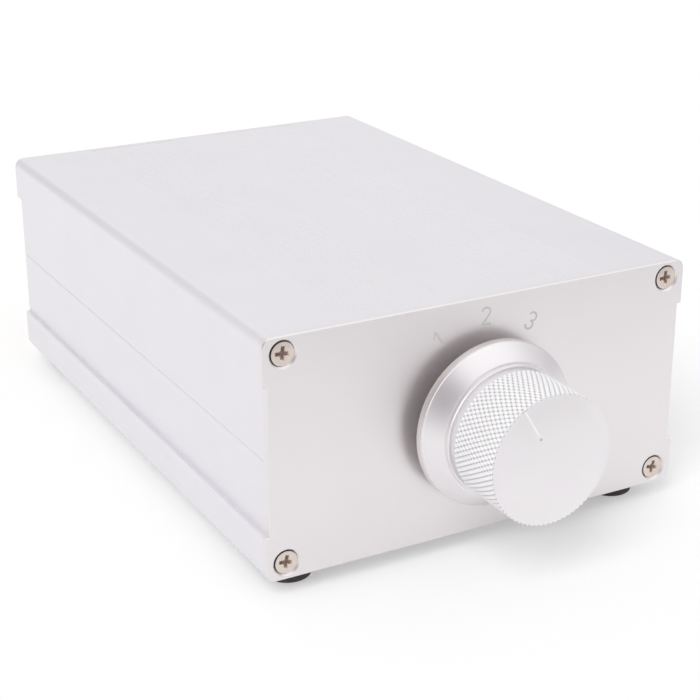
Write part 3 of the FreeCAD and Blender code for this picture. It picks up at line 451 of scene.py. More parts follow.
finish = Finish("foot_rubber")
x, y, z = finish.axes()
skin = finish.noise(0.18, 3.0)
dusty = finish.between(z, 0.0, DUST_UP_TO * MM, 0.5, 0.0) * finish.noise(1.4, 3.0)
colour = finish.mix(dusty, finish.mix(finish.noise(4.0, 3.0), RUBBER, RUBBER_DULL), DUST)
rubber = finish.surface(colour, 0.5 + skin * 0.25, 0.0, finish.bump(skin * 0.012))
dress(["foot_" + end + "_" + side for end in ("front", "rear") for side in ("left", "right")], rubber)

finish = Finish("pad_foam")
cell_inputs = {"Vector": finish.place, "Scale": 1 / (CELL_MM * MM)}
cells = finish.add("ShaderNodeTexVoronoi", None, cell_inputs)["Distance"]
colour = finish.mix(finish.between(cells, 0.25, 0.6), FOAM_CELL, FOAM)
foam = finish.surface(colour, 0.8 + finish.noise(1.0) * 0.15, 0.0, finish.bump(cells * 0.08))
dress(["foot_pads"], foam)

# %% [markdown]
# Inside, most metal pieces come straight from the machine that made them. Three things tell them
# apart: the colour of the metal, how dull it is, and which way the marks run. Marks are noise that is
# stretched along the tool's path, and patches of tarnish are larger noise on the colour.

# %% Metal pieces inside
def metal(name, bright, dull, rough, mark_mm=0.3, stretch=(1.0, 1.0, 1.0), height_mm=0.006, share=1.0):
    """Bare or plated metal with tool marks; share is how metallic it is."""
    finish = Finish(name)
    marks = finish.noise(mark_mm, 3.0, stretch)
    patches = finish.noise(mark_mm * 12, 4.0)
    colour = finish.mix(finish.between(patches, 0.35, 0.7), bright, dull)
    return finish.surface(colour, rough + marks * 0.14, share, finish.bump(marks * height_mm))


LENGTHWISE = (1.0, 0.15, 1.0)    # marks along Y, for drawn pieces
RINGS = (0.2, 1.0, 0.2)          # marks across Y, for turned and ground pieces
CROSSWISE = (0.2, 1.0, 1.0)      # marks along X, for stamped springs

dress(["extension_shaft", "switch_spindle"],
      metal("ground_steel", rgb(198, 198, 200), rgb(178, 177, 178), 0.2, 0.12, RINGS, 0.003))
dress(["knob_set_screw", "coupler_set_screws"],
      metal("blackened_steel", rgb(70, 68, 70), rgb(48, 46, 49), 0.34, 0.2, RINGS, 0.01, 0.7))
dress(["shaft_bushing", "bushing_washer", "bushing_nut", "switch_nut", "socket_nuts"],
      metal("nickel_brass", rgb(214, 205, 190), rgb(192, 182, 166), 0.22, 0.25, RINGS))
dress(["board_screws", "front_panel_screws", "rear_panel_screws", "standoff_screws"],
      metal("nickel_plate", rgb(236, 224, 212), rgb(214, 200, 188), 0.26, 0.2, RINGS))
dress(["shaft_coupler", "board_standoffs"],
      metal("turned_brass", rgb(212, 178, 108), rgb(188, 150, 84), 0.26, 0.2, RINGS, 0.008))
dress(["switch_detent_springs", "switch_retaining_clip", "switch_stop_washer"],
      metal("spring_steel", rgb(168, 167, 166), rgb(138, 136, 135), 0.3, 0.2, LENGTHWISE))
dress(["switch_detent_balls"],
      metal("ball_steel", rgb(212, 212, 214), rgb(200, 200, 203), 0.06, 0.5, height_mm=0.001))
dress(["switch_wipers"],
      metal("spring_bronze", rgb(206, 160, 118), rgb(176, 128, 90), 0.3, 0.2, CROSSWISE))
dress(["switch_terminals", "socket_ground_lugs"],
      metal("tinned_brass", rgb(206, 207, 209), rgb(184, 185, 188), 0.36, 0.5, height_mm=0.012))
gold = metal("gold_plate", rgb(226, 188, 112), rgb(214, 172, 94), 0.16, 0.25, RINGS, 0.004)
shell_nodes = sorted(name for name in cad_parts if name.startswith("socket_shell"))
dress(["socket_contacts"] + shell_nodes, gold)

# %% [markdown]
# The insulators are moulded or punched. Moulded ones carry the mould's fine grain and a faint cloud
# from the way the melt ran. Punched fibre and phenolic board show their paper fibres.

# %% Insulators
def moulded(name, bright, dull, rough, grain_mm=0.15, height_mm=0.004, stretch=(1.0, 1.0, 1.0)):
    """Plastic or fibre with a grain, and a cloud twenty times as large on the colour."""
    finish = Finish(name)
    grain = finish.noise(grain_mm, 3.0, stretch)
    cloud = finish.noise(grain_mm * 20, 3.0, stretch)
    colour = finish.mix(cloud * 0.7 + grain * 0.3, bright, dull)
    return finish.surface(colour, rough + grain * 0.15, 0.0, finish.bump(grain * height_mm))


LAYERS = (1.0, 3.0, 0.3)     # thin layers across Y, for phenolic board
FIBRES = (0.4, 2.0, 1.0)     # fibres along X, for punched washers

dress(["switch_housing"], moulded("switch_black", rgb(46, 46, 48), rgb(34, 34, 37), 0.36, 0.12, 0.01))
dress(["switch_rotor"], moulded("rotor_nylon", rgb(232, 226, 210), rgb(218, 211, 192), 0.38))
dress(["socket_cores_left", "socket_cores_right"],
      moulded("core_white", rgb(240, 239, 235), rgb(229, 228, 223), 0.32))
collar_white = moulded("collar_white", rgb(238, 237, 233), rgb(228, 226, 221), 0.24)
collar_red = moulded("collar_red", rgb(178, 30, 32), rgb(158, 22, 26), 0.24)
dress(["socket_collars_left"], collar_white)
dress(["socket_collars_right"], collar_red)
dress(["switch_base"],
      moulded("switch_phenolic", rgb(138, 92, 58), rgb(104, 64, 40), 0.42, 0.16, 0.008, LAYERS))
dress(["socket_inner_washers"],
      moulded("washer_fibre", rgb(152, 96, 78), rgb(122, 70, 58), 0.6, 0.2, 0.02, FIBRES))

# %% [markdown]
# The circuit board carries the switch's pins and the sockets' tails. Under the green mask lie copper
# tracks, which stand a little proud and look lighter. Each socket's tail has a bare tinned ring, from
# which a track runs to the bundle of tracks behind the switch. The sockets' pitch gives all of it.

# %% Circuit board
MASK, MASK_TRACK, TIN = rgb(28, 84, 52), rgb(48, 118, 74), rgb(206, 206, 204)
SOCKET_PITCH_X, SOCKET_PITCH_Z = 21.0, 18.0
PAD_R, TRACK_HALF, BUNDLE_PITCH, BUNDLE_HALF = 1.5, 0.35, 1.4, 5.0


def off_middle(value, pitch_mm, shift_mm):
    """How far a place lies from the middle of its step of this pitch."""
    return ((value + shift_mm * MM) % (pitch_mm * MM)) - pitch_mm * MM / 2


finish = Finish("circuit_board")
x, y, z = finish.axes()
up = z - AXIS_Z * MM
column = off_middle(x, SOCKET_PITCH_X, 2 * SOCKET_PITCH_X)
row = off_middle(up, SOCKET_PITCH_Z, 0.0)
pad = (column * column + row * row).root() < PAD_R * MM
drop = (column.size() < TRACK_HALF * MM) * (up.size() < SOCKET_PITCH_Z / 2 * MM)
lanes = off_middle(up, BUNDLE_PITCH, 10 * BUNDLE_PITCH).size() < TRACK_HALF * MM
bundle = lanes * (up.size() < BUNDLE_HALF * MM) * (x.size() < SOCKET_PITCH_X * 1.5 * MM)
track = finish.between(drop + bundle, 0.4, 0.6)
weave = finish.noise(0.4, 2.0)
colour = finish.mix(pad, finish.mix(track * 0.8 + weave * 0.2, MASK, MASK_TRACK), TIN)
normal = finish.bump(track * 0.03 + weave * 0.006)
board_green = finish.surface(colour, 0.24 + weave * 0.14 + pad * 0.1, pad, normal)
dress(["circuit_board"], board_green)

# %% [markdown]
# New pieces are turned on a lathe, so one helper does what a lathe does: it rounds the corners of a
# profile and spins it about the Y axis. Rounding comes first, as a bevel of the profile's vertices.
# Slots and cross holes are cut the way a mill would, with a Boolean modifier that is applied at once.

# %% Helpers for machined shapes
SAME_PLACE = 1e-4            # vertices nearer than this become one
ON_CUT = 1e-5                # a vertex this near a cutting plane is on it


def turned(profile, steps, closed=True):
    """A bmesh from (radius, y) or (radius, y, rounding) points, spun about the Y axis."""
    shape = bmesh.new()
    verts = [shape.verts.new((point[0], point[1], 0.0)) for point in profile]
    for first, second in zip(verts, verts[1:]):
        shape.edges.new((first, second))
    if closed:
        shape.edges.new((verts[-1], verts[0]))
    for vert, point in zip(verts, profile):
        if len(point) > 2:
            bmesh.ops.bevel(shape, geom=[vert], offset=point[2], offset_type="OFFSET", segments=3,
                            profile=0.5, affect="VERTICES", material=-1)
    bmesh.ops.spin(shape, geom=shape.verts[:] + shape.edges[:], cent=(0, 0, 0), axis=(0, 1, 0),
                   angle=math.tau, steps=steps, use_merge=True)
    bmesh.ops.remove_doubles(shape, verts=shape.verts[:], dist=SAME_PLACE)
    bmesh.ops.recalc_face_normals(shape, faces=shape.faces[:])
    return shape


def radius_of(vert):
    """Distance from the Y axis."""
    return math.hypot(vert.co.x, vert.co.z)


def turned_by(shape, degrees):
    """Turns a shape clockwise about the Y axis, as seen from the front."""
    bmesh.ops.rotate(shape, verts=shape.verts[:], cent=(0, 0, 0),
                     matrix=Matrix.Rotation(math.radians(degrees), 3, "Y"))


def block(x_size, y_low, y_high, z_low, z_high):
    """A box for cutting slots, with its middle at X 0."""
    shape = bmesh.new()
    bmesh.ops.create_cube(shape, size=1.0)
    bmesh.ops.scale(shape, vec=(x_size, y_high - y_low, z_high - z_low), verts=shape.verts[:])
    middle = (0, (y_low + y_high) / 2, (z_low + z_high) / 2)
    bmesh.ops.translate(shape, vec=middle, verts=shape.verts[:])
    return shape


def trimmed(shape, place, out):
    """Takes off what lies beyond the plane through a place, on the side that out points to."""
    everything = shape.verts[:] + shape.edges[:] + shape.faces[:]
    bmesh.ops.bisect_plane(shape, geom=everything, dist=ON_CUT, plane_co=place, plane_no=out,
                           clear_outer=True)


def as_object(name, shape):
    """A bmesh as an object in the scene."""
    mesh = bpy.data.meshes.new(name)
    shape.to_mesh(mesh)
    shape.free()
    item = bpy.data.objects.new(name, mesh)
    bpy.context.scene.collection.objects.link(item)
    return item


def milled(shape, cutters):
    """The shape with the cutters' shapes taken out of it."""
    stock = as_object("stock", shape)
    tools = [as_object("cutter", cutter) for cutter in cutters]
    for tool in tools:
        cut = stock.modifiers.new("cut", "BOOLEAN")
        cut.operation, cut.solver, cut.object = "DIFFERENCE", "EXACT", tool
    mesh = bpy.data.meshes.new_from_object(stock.evaluated_get(bpy.context.evaluated_depsgraph_get()))
    result = bmesh.new()
    result.from_mesh(mesh)
    for item in [stock] + tools:
        bpy.data.objects.remove(item)
    bmesh.ops.remove_doubles(result, verts=result.verts[:], dist=SAME_PLACE)
    return result


def own_place(shape):
    """Keeps each vertex's place before the piece is moved, for patterns that follow the piece."""
    layer = shape.verts.layers.float_vector.new("own_place")
    for vert in shape.verts:
        vert[layer] = vert.co * MM


def copies(shape, moves):
    """One bmesh with a copy of the shape at each (x, y, z, degrees about Y)."""
    group = bmesh.new()
    mesh = bpy.data.meshes.new("copy")
    shape.to_mesh(mesh)
    shape.free()
    for x, y, z, degrees in moves:
        start = len(group.verts)
        group.from_mesh(mesh)
        group.verts.ensure_lookup_table()
        fresh = group.verts[start:]
        bmesh.ops.rotate(group, verts=fresh, cent=(0, 0, 0),
                         matrix=Matrix.Rotation(math.radians(degrees), 3, "Y"))
        bmesh.ops.translate(group, vec=(x, y, z), verts=fresh)
    return group


def finished(name, shape, body, material, replaced, smooth_deg=32.0):
    """Makes a bmesh in millimetres a piece in metres, riding on its body."""
    bmesh.ops.scale(shape, vec=(MM, MM, MM), verts=shape.verts[:])
    piece = as_object(name, shape)
    piece.data.shade_smooth()
    piece.data.set_sharp_from_angle(angle=math.radians(smooth_deg))
    piece.data.materials.append(material)
    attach(piece, body)
    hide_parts(*replaced)
    print(name, len(piece.data.polygons), "faces")


# %% [markdown]
# The knob is turned from one bar: a bevelled flange, a bead with a small chamfer that catches the light
# all round, a neck, and a grip. This first shape is everything but the grip's outside. It runs from the
# bottom of the bore to the end of the neck, and its second part is the face, which is slightly crowned.

# %% Knob blank
KNURLS = 76                  # diamonds round the grip
KNURL_ROWS = 14              # half diamonds along it
KNURL_LOW_R = 14.3
KNURL_TIP_R = 14.65
RIM_LEN = 2.1
BEVEL_IN_R = 15.5
BEAD_R = 15.2
BEAD_LEN = 1.15
BEAD_CHAMFER = (0.18, 0.45)  # across and along
NECK_R = 14.2
NECK_LEN = 1.6
RECESS_R = 9.0
RECESS_DEPTH = 3.0
BORE_R = 3.02
BORE_DEPTH = 17.5
FACE_CROWN = 0.4
FACE_R = 14.2
FACE_RINGS = 7

knob_back, knob_tip = knob_high.y, knob_low.y
flange_r = (knob_high.x - knob_low.x) / 2
rim_y = knob_back - RIM_LEN
bevel_y = rim_y - (flange_r - BEVEL_IN_R)
bead_y = bevel_y - BEAD_LEN
neck_y = bead_y - NECK_LEN
edge_y = knob_tip + FACE_CROWN
bore_y = knob_back - BORE_DEPTH
recess_y = knob_back - RECESS_DEPTH

profile = [(0, bore_y), (BORE_R, bore_y), (BORE_R, recess_y, 0.3), (RECESS_R, recess_y),
           (RECESS_R, knob_back, 0.2), (flange_r, knob_back, 0.25), (flange_r, rim_y, 0.34),
           (BEVEL_IN_R, bevel_y, 0.1), (BEAD_R, bevel_y), (BEAD_R, bead_y + BEAD_CHAMFER[1], 0.1),
           (BEAD_R - BEAD_CHAMFER[0], bead_y, 0.04), (NECK_R, bead_y), (NECK_R, neck_y)]
blank = turned(profile, 2 * KNURLS, closed=False)
face_profile = [(FACE_R * k / FACE_RINGS, knob_tip + FACE_CROWN * (k / FACE_RINGS) ** 2)
                for k in range(FACE_RINGS + 1)]
face = turned(face_profile, 2 * KNURLS, closed=False)
print("knob blank", len(blank.faces), "faces, crown", len(face.faces))

# %% [markdown]
# Knurling rolls two families of slanted grooves into the grip, and what stands between them is a field
# of small diamonds. The grid has one vertex per half diamond. Joining the low vertices across each face
# draws the grooves, dissolving the ones between leaves whole diamonds, and insetting each diamond with
# some height makes it a pyramid with a flat top. Each groove has a vertex in the middle between two
# crossings, which is raised a little. The field is made a row too long at each end and then cut
# square, as the lathe does, so that the teeth show in the outline of the face.

# %% Knurl
KNURL_FLANK = 0.34           # from a diamond's edge to its flat top
KNURL_SADDLE = 0.12          # how much shallower the grooves are between two crossings
KNURL_STEP = math.tau / (2 * KNURLS)
row_len = (neck_y - edge_y) / KNURL_ROWS
sleeve = turned([(KNURL_LOW_R, neck_y + row_len - k * row_len) for k in range(KNURL_ROWS + 3)],
                2 * KNURLS, closed=False)


def knurl_step(vert):
    """Steps round and along the grip."""
    return math.atan2(vert.co.x, vert.co.z) / KNURL_STEP, (neck_y - vert.co.y) / row_len


steps = {vert: [round(k) for k in knurl_step(vert)] for vert in sleeve.verts}
bmesh.ops.connect_verts(sleeve, verts=[vert for vert in sleeve.verts if sum(steps[vert]) % 2])
peaks = [vert for vert in sleeve.verts
         if not sum(steps[vert]) % 2 and -1 < steps[vert][1] < KNURL_ROWS + 1]
bmesh.ops.dissolve_verts(sleeve, verts=peaks)
diamonds = [f for f in sleeve.faces if len(f.verts) == 4]
bmesh.ops.bisect_edges(sleeve, edges=sleeve.edges[:], cuts=1)
bmesh.ops.recalc_face_normals(sleeve, faces=sleeve.faces[:])
middle = diamonds[0].calc_center_median()
if diamonds[0].normal.dot(Vector((middle.x, 0, middle.z))) < 0:
    bmesh.ops.reverse_faces(sleeve, faces=sleeve.faces[:])
bmesh.ops.inset_individual(sleeve, faces=diamonds, thickness=KNURL_FLANK,
                           depth=KNURL_TIP_R - KNURL_LOW_R, use_even_offset=True)
raised = 1 + KNURL_SADDLE / KNURL_LOW_R
saddles = [vert for vert in sleeve.verts if radius_of(vert) < KNURL_LOW_R + 0.01
           and all(abs(k - round(k)) > 0.4 for k in knurl_step(vert))]
bmesh.ops.scale(sleeve, vec=(raised, 1, raised), verts=saddles)
for cut_y, out in ((neck_y, 1), (edge_y, -1)):
    trimmed(sleeve, (0, cut_y, 0), (0, out, 0))
print(len(diamonds), "diamonds, tips at", round(max(radius_of(v) for v in sleeve.verts), 3))

# %% [markdown]
# The three shells are put in one bmesh. The flat rings between their rims are filled: from the neck
# to the back of the grip, and from the crown's edge to its front. The line that points at the number
# is milled from the edge inward, with a small drilled dot where it ends, and the set screw's hole
# comes in from the far side of the grip.

# %% Knob
POINTER_W = 0.4
POINTER_DEPTH = 0.15
POINTER_IN_R = 6.4
POINTER_DOT_R = 0.33
DOT_DEPTH = 0.15             # below the line's floor, and then the drill's cone
DOT_CONE = 0.2
SET_SCREW_R = 1.52
SET_SCREW_IN = 7.4
REST_DEG = -30.0             # at rest the line points up and to the left, at the 1
PAST = 1.0                   # how far a cutter reaches out of the piece
ON_RIM = 1e-3                # a vertex this near a rim's plane belongs to it


def merged(shapes):
    """Several bmeshes as one."""
    group = bmesh.new()
    for shape in shapes:
        mesh = bpy.data.meshes.new("part")
        shape.to_mesh(mesh)
        shape.free()
        group.from_mesh(mesh)
    return group


def rim_edges(shape, y):
    """The open edges of a shape at this y."""
    return [edge for edge in shape.edges if edge.is_boundary
            and all(abs(vert.co.y - y) < ON_RIM for vert in edge.verts)]


knob = merged([blank, sleeve, face])
for rim in (neck_y, edge_y):
    bmesh.ops.triangle_fill(knob, use_beauty=True, edges=rim_edges(knob, rim))
bmesh.ops.recalc_face_normals(knob, faces=knob.faces[:])

inner_y = knob_tip + FACE_CROWN * (POINTER_IN_R / FACE_R) ** 2 + POINTER_DEPTH
outer_y = edge_y + POINTER_DEPTH
line = block(POINTER_W, knob_tip - PAST, inner_y, POINTER_IN_R, FACE_R + PAST)
outer = [vert for vert in line.verts if vert.co.z > FACE_R and vert.co.y > knob_tip]
bmesh.ops.translate(line, vec=(0, outer_y - inner_y, 0), verts=outer)
dot = turned([(0, knob_tip - PAST), (POINTER_DOT_R, knob_tip - PAST),
              (POINTER_DOT_R, inner_y + DOT_DEPTH), (0, inner_y + DOT_DEPTH + DOT_CONE)], steps=16)
bmesh.ops.translate(dot, vec=(0, 0, POINTER_IN_R), verts=dot.verts[:])
hole_end = KNURL_TIP_R + PAST
hole = turned([(0, 0), (SET_SCREW_R, 0), (SET_SCREW_R, hole_end), (0, hole_end)], steps=32)
downward = Matrix.Rotation(-math.pi / 2, 3, "X")
bmesh.ops.rotate(hole, verts=hole.verts[:], cent=(0, 0, 0), matrix=downward)
bmesh.ops.translate(hole, vec=(0, edge_y + SET_SCREW_IN, 0), verts=hole.verts[:])
knob = milled(knob, [line, dot, hole])
own_place(knob)
turned_by(knob, REST_DEG)
bmesh.ops.translate(knob, vec=(0, 0, AXIS_Z), verts=knob.verts[:])
print("open edges", sum(edge.is_boundary for edge in knob.edges))

# %% [markdown]
# The knob is the same aluminium, turned instead of blasted. Its face and bevel keep very fine rings
# from the tool, which own_place finds by their distance from the axis. The two edges that fingers
# touch are polished by them, which shows as thin bright lines, and the flange's rim is a shade warmer.
# The grip was etched before it was anodised, so its diamonds are matt white, and its grooves are
# painted grey as shade. The neck is painted a little greyer as shade too, and so is the flange's back,
# which keeps the gap to the panel dark.

# %% Turned aluminium
KNOB_WHITE = rgb(252, 249, 251)
KNOB_DULL = rgb(247, 243, 246)
KNURL_LAND = rgb(255, 254, 255)
KNURL_WORN = rgb(242, 241, 243)
# Painted shade: the grey of the knurl's grooves and of the neck.
KNURL_GROOVE_SHADE = rgb(187, 185, 187)
NECK_SHADE_GREY = rgb(231, 230, 232)
KNURL_BARE = 0.3             # how metallic the etched diamonds are
BACK_BARE = 0.3              # the same for the flange's back
# Painted shade for the flange's back.
BACK_SHADE_GREY = rgb(234, 230, 230)
RIM_METAL = rgb(240, 237, 234)
POINTER_PAINT = rgb(246, 244, 243)
EDGE_NEAR, EDGE_FAR = 0.12, 0.4
EDGE_POLISH = 0.6            # how much of the roughness is gone on a polished edge
# The radius and the place along the axis of each polished edge.
POLISHED_EDGES = ((flange_r - 0.1, rim_y + 0.05),
                  (BEAD_R - BEAD_CHAMFER[0] / 2, bead_y + BEAD_CHAMFER[1] / 2))
LAND_FROM, LAND_FULL = KNURL_LOW_R + 0.03, KNURL_LOW_R + 0.2
MARGIN = 0.02                # keeps a mask clear of the face it ends at
PAINT_FROM = 0.05            # how deep in the line its paint begins
PAINT_STOPS = 0.25           # how far from the line's inner end it stops, before the dot
BACK_LAYER = 0.1             # how much of the flange counts as its back
RING_MM = 0.14


def turned_metal(name, bright, dull, rough_from, ring_height=0.0012):
    """Metal with fine rings round its own Y axis."""
    finish = Finish(name)
    x, y, z = finish.axes(finish.own_place())
    radius = (x * x + z * z).root()
    wander = finish.noise(1.2)
    rings = ((radius + y + wander * 0.1 * MM) * (math.tau / (RING_MM * MM))).sine()
    grain = finish.noise(GRAIN_MM)
    colour = finish.mix(finish.noise(9.0, 3.0), bright, dull)
    rough = rough_from + grain * 0.06
    normal = finish.bump(rings * ring_height + grain * 0.003)
    return finish, colour, rough, normal, radius, y


finish, colour, rough, normal, radius, depth = turned_metal(
    "turned_knob", KNOB_WHITE, KNOB_DULL, 0.32)
grip = (depth < (bead_y - MARGIN) * MM) * (depth > (edge_y + 2 * MARGIN) * MM)
grip = grip * (radius > (NECK_R - 2 * MARGIN) * MM)
land = finish.between(radius, LAND_FROM * MM, LAND_FULL * MM)
top = finish.mix(finish.noise(1.1), KNURL_LAND, KNURL_WORN)
# Painted shade: the grooves between the diamonds are grey.
colour = finish.mix(grip, colour, finish.mix(land, KNURL_GROOVE_SHADE, top))
# Painted shade: the neck between the bead and the grip is greyer.
colour = finish.mix(grip * (depth > (neck_y + MARGIN) * MM), colour, NECK_SHADE_GREY)
crown = edge_y * MM - FACE_CROWN * MM + radius * radius * (FACE_CROWN / FACE_R ** 2 / MM)
filled = (depth > crown + PAINT_FROM * MM) * (depth < (edge_y + POINTER_DEPTH + PAINT_FROM) * MM)
filled = filled * (radius < FACE_R * MM) * (radius > (POINTER_IN_R + PAINT_STOPS) * MM)
colour = finish.mix(filled, colour, POINTER_PAINT)
rim = (radius > (flange_r - MARGIN) * MM) * (depth > rim_y * MM)
colour = finish.mix(rim, colour, RIM_METAL)
for polished_r, polished_y in POLISHED_EDGES:
    across, along = radius - polished_r * MM, depth - polished_y * MM
    away = (across * across + along * along).root()
    rough = rough * (1.0 - finish.between(away, EDGE_NEAR * MM, EDGE_FAR * MM, EDGE_POLISH, 0.0))
# Painted shade: the flange's back is greyer, which keeps the gap to the panel dark.
back = depth > (knob_back - BACK_LAYER) * MM
colour = finish.mix(back, colour, BACK_SHADE_GREY)
share = 1.0 - grip * (1.0 - KNURL_BARE) - back * (1.0 - BACK_BARE) - filled
knob_metal = finish.surface(colour, rough + grip * 0.08 + filled * 0.2, share, normal)
finished("knob_body", knob, SELECTOR, knob_metal, ["knob"])

# %% [markdown]
# The corner screws are nickel plated, a warm grey beside the aluminium. A tapered cross is pressed into
# each head. Plating is thin in there, so the finish gets browner with depth, and darker too, which is
# painted shade for the recess. A painted shadow lies round the rim, where the head meets its
# countersink. It lies widest up and to the left, so a little of the place along that way is added to
# the radius, and it shows as a dark crescent.

# %% Countersunk screws
HEAD_R = 2.7
HEAD_RIM = 0.2
HEAD_SUNK = 0.3
THREAD_R = 1.48
THREAD_ROOT_R = 1.22
THREAD_PITCH = 0.5
CROSS_W = 0.85
CROSS_SPAN = 3.3
CROSS_DEPTH = 0.85
CROSS_TAPER = (0.4, 0.6)     # how much narrower and shorter the bars are at the bottom
CROSS_MIDDLE_R = 0.82
SCREW_LEN = 8.0
SCREW_TURNS = (4.0, -3.0, 9.0, 14.0)  # how far each cross stands off upright, in degrees


def screw_profile(length):
    """A countersunk screw along +Y, its head's face at 0."""
    neck = HEAD_RIM + HEAD_R - THREAD_R
    points = [(0, 0), (HEAD_R, 0, 0.08), (HEAD_R, HEAD_RIM), (THREAD_R, neck)]
    y = neck
    while y < length - THREAD_PITCH:
        points += [(THREAD_ROOT_R, y + THREAD_PITCH / 2), (THREAD_R, y + THREAD_PITCH)]
        y += THREAD_PITCH
    return points + [(THREAD_ROOT_R, length), (0, length)]


def cross_cutters():
    """Two tapered bars and a cone between them, which press the cross."""
    cone = [(0, -CROSS_DEPTH), (2 * CROSS_MIDDLE_R, -CROSS_DEPTH), (0, CROSS_DEPTH * 1.1)]
    cutters = [turned(cone, steps=16)]
    for degrees in (0, 90):
        bar = block(CROSS_W, -CROSS_DEPTH, CROSS_DEPTH, -CROSS_SPAN / 2, CROSS_SPAN / 2)
        for sign in (1, -1):
            end = [vert for vert in bar.verts if vert.co.y * sign > 0]
            taper = (1 - CROSS_TAPER[0] * sign, 1, 1 - CROSS_TAPER[1] * sign)
            bmesh.ops.scale(bar, vec=taper, verts=end)
        turned_by(bar, degrees)
        cutters.append(bar)
    return cutters


def screw(length):
    """A whole screw of this length, with its cross."""
    body = milled(turned(screw_profile(length), steps=48), cross_cutters())
    own_place(body)
    return body


def corners(node):
    """The middles of the four screws in a node, upper ones first, from the node's box."""
    low, high = span(node)
    across, up = (low.x + HEAD_R, high.x - HEAD_R), (high.z - HEAD_R, low.z + HEAD_R)
    return [(x, z) for z in up for x in across]


def screw_moves(node, face_y, way):
    """Moves for a node's four screws, each turned a little differently."""
    return [(x, face_y, z, way * turn) for (x, z), turn in zip(corners(node), SCREW_TURNS)]


NICKEL = rgb(246, 234, 226)
NICKEL_DULL = rgb(221, 207, 198)
TARNISH_AND_SHADE = rgb(158, 136, 124)
# A painted shadow: the dark crescent round each head's rim.
RIM_SHADOW = rgb(38, 32, 28)
RIM_SHADOW_IN = 0.16           # how far in from the edge the painted shadow begins
RIM_SHADOW_LEAN = (-0.045, 0, 0.028)  # up and to the left
STAIN_SHADE_FROM, STAIN_SHADE_FULL = 0.05, 0.4

finish, colour, rough, normal, radius, depth = turned_metal(
    "nickel_screw", NICKEL, NICKEL_DULL, 0.24, 0.004)
# Browner and darker with depth: a brown tarnish, with painted shade for the recess.
deep_stain_and_shade = finish.between(depth, STAIN_SHADE_FROM * MM, STAIN_SHADE_FULL * MM) * (0.7 + finish.noise(0.4, 3.0) * 0.5)
# Painted shadow: a dark crescent round the rim, widest up and to the left.
rim_reach = radius + finish.along(finish.own_place(), RIM_SHADOW_LEAN)
rim_shadow = finish.between(rim_reach, (HEAD_R - RIM_SHADOW_IN) * MM, HEAD_R * MM)
colour = finish.mix(rim_shadow, finish.mix(deep_stain_and_shade, colour, TARNISH_AND_SHADE), RIM_SHADOW)
stain_and_shadow = finish.between(deep_stain_and_shade + rim_shadow, 0.0, 1.0)
nickel = finish.surface(colour, rough + stain_and_shadow * 0.3, 1.0 - stain_and_shadow * 0.6, normal)

front_moves = screw_moves("front_panel_screws", FRONT_Y + HEAD_SUNK, 1)
finished("front_screws", copies(screw(SCREW_LEN), front_moves), CASE, nickel,
         ["front_panel_screws"])

# %% [markdown]
# The rear panel has the same four screws, and four shorter ones that hold the board's standoffs. They
# are the front screws turned about.

# %% Screws of the rear panel
STANDOFF_SCREW_LEN = 6.0
HALF_TURN = Matrix.Rotation(math.pi, 3, "Z")


def rear_screws(name, node, length):
    """Four screws that face the rear."""
    shape = screw(length)
    bmesh.ops.rotate(shape, verts=shape.verts[:], cent=(0, 0, 0), matrix=HALF_TURN)
    moves = screw_moves(node, REAR_Y - HEAD_SUNK, -1)
    finished(name, copies(shape, moves), CASE, nickel, [node])


rear_screws("rear_screws", "rear_panel_screws", SCREW_LEN)
rear_screws("standoff_screw_set", "standoff_screws", STANDOFF_SCREW_LEN)

# %% [markdown]
# A panel socket is turned from hexagon brass bar and plated. Its flange keeps the hexagon, chamfered at
# thirty degrees, and the rest is a threaded tube with a smooth sleeve outside the panel. So the tube is
# spun with the thread as a zigzag in the profile, and the flange is a spun disc with six flats cut off.

# %% Socket shells
SHELL_THREAD_R = 4.0
SHELL_ROOT_R = 3.72
SHELL_PITCH = 0.75
SLEEVE_R = 4.15
SHELL_BORE_R = 3.2
FLANGE_FLATS = 11.0
FLANGE_T = 1.6
COLLAR_OUT_R = 6.2
COLLAR_T = 1.2
SLEEVE_LAP = 0.3             # how far the sleeve's foot reaches into the flange
CHAMFER_IN = 0.15            # how far the chamfer runs in past the middles of the flats
SHELL_SMOOTH_DEG = 25.0      # a shell's edges are smooth below this angle

shell_low, shell_high = span("socket_shell_output_left")
flange_y = REAR_Y + COLLAR_T
sleeve_y = flange_y + FLANGE_T
mouth_y = shell_high.y
tail_y = shell_low.y


def socket_shell():
    """One shell about the Y axis."""
    foot_y = sleeve_y - SLEEVE_LAP
    tube = [(SHELL_BORE_R, tail_y), (SHELL_ROOT_R, tail_y)]
    y = tail_y
    while y < flange_y - SHELL_PITCH:
        tube += [(SHELL_THREAD_R, y + SHELL_PITCH / 2), (SHELL_ROOT_R, y + SHELL_PITCH)]
        y += SHELL_PITCH
    tube += [(SHELL_ROOT_R, foot_y), (SLEEVE_R, foot_y), (SLEEVE_R, mouth_y, 0.35),
             (SHELL_BORE_R, mouth_y, 0.25)]
    corner_r = FLANGE_FLATS / 2 / math.cos(math.pi / 6)
    chamfer = (corner_r - FLANGE_FLATS / 2) * math.tan(math.pi / 6)
    disc = turned([(SHELL_ROOT_R, flange_y), (corner_r, flange_y), (corner_r, sleeve_y - chamfer),
                   (FLANGE_FLATS / 2 - CHAMFER_IN, sleeve_y), (SHELL_ROOT_R, sleeve_y)], steps=96)
    for k in range(6):
        out = Vector((math.sin(k * math.pi / 3), 0, math.cos(k * math.pi / 3)))
        trimmed(disc, out * FLANGE_FLATS / 2, out)
        bmesh.ops.holes_fill(disc, edges=[edge for edge in disc.edges if edge.is_boundary])
    shell = merged([turned(tube, steps=64), disc])
    bmesh.ops.recalc_face_normals(shell, faces=shell.faces[:])
    own_place(shell)
    return shell


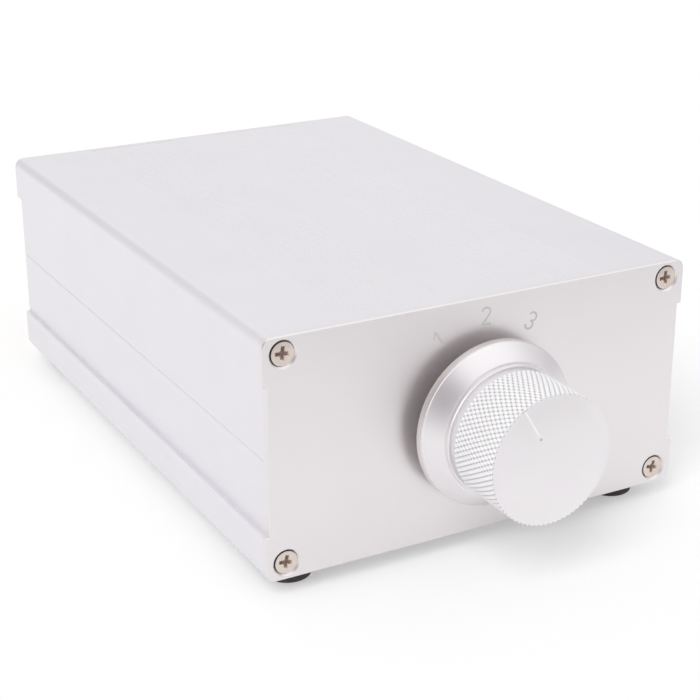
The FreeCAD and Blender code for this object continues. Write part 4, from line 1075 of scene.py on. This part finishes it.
finish, colour, rough, normal, radius, depth = turned_metal(
    "gold_turned", rgb(228, 190, 114), rgb(216, 174, 98), 0.14, 0.002)
gold_turned = finish.surface(colour, rough, 1.0, normal)
for node in shell_nodes:
    low, high = span(node)
    place = ((low.x + high.x) / 2, 0.0, (low.z + high.z) / 2, 0.0)
    finished(node.replace("socket_", ""), copies(socket_shell(), [place]), CASE,
             gold_turned, [node], SHELL_SMOOTH_DEG)

# %% [markdown]
# Inside each shell a white insulator holds the centre contact, a tube split into four springy petals.
# The coloured collar outside the panel tells left from right and has a rounded edge.

# %% Socket collars and contacts
CONTACT_R, CONTACT_BORE_R, CONTACT_DEEP = 2.0, 1.65, 9.0
TAIL_R = 0.6
SLIT_W, SLIT_LEN, SLIT_REACH = 0.35, 6.0, 3.0
COLLAR_HUB_R = 4.6           # where the collar goes through the panel
COLLAR_FIT = 0.02

columns = [SOCKET_PITCH_X * (k - 1.5) for k in range(4)]
upper_z, lower_z = AXIS_Z + SOCKET_PITCH_Z / 2, AXIS_Z - SOCKET_PITCH_Z / 2


def collar():
    """One collar about the Y axis, from the panel's inside to the shell's flange."""
    seat, collar_low = SHELL_THREAD_R + COLLAR_FIT, span("socket_collars_left")[0]
    return turned([(seat, collar_low.y), (COLLAR_HUB_R, rear_low.y), (COLLAR_HUB_R, REAR_Y),
                   (COLLAR_OUT_R, REAR_Y, 0.15), (COLLAR_OUT_R, flange_y, 0.35),
                   (seat, flange_y)], steps=64)


for side, z, slot, material in (("left", upper_z, "collar_white", collar_white),
                                ("right", lower_z, "collar_red", collar_red)):
    finished("collars_" + side, copies(collar(), [(x, 0, z, 0) for x in columns]), CASE,
             material, ["socket_collars_" + side])

contact_low, contact_high = span("socket_contacts")
end_y, foot_y = contact_high.y, contact_low.y
deep_y, slit_y = end_y - CONTACT_DEEP, end_y - SLIT_LEN
pin = turned([(0, foot_y), (TAIL_R, foot_y, 0.2), (TAIL_R, tail_y), (CONTACT_R, tail_y, 0.2),
              (CONTACT_R, end_y, 0.25), (CONTACT_BORE_R, end_y, 0.08), (CONTACT_BORE_R, deep_y),
              (0, deep_y)], steps=40)
pin = milled(pin, [block(SLIT_W, slit_y, end_y + PAST, -SLIT_REACH, SLIT_REACH),
                   block(2 * SLIT_REACH, slit_y, end_y + PAST, -SLIT_W / 2, SLIT_W / 2)])
own_place(pin)
finished("contacts", copies(pin, [(x, 0, z, 0) for x in columns for z in (upper_z, lower_z)]), CASE,
         gold_turned, ["socket_contacts"])
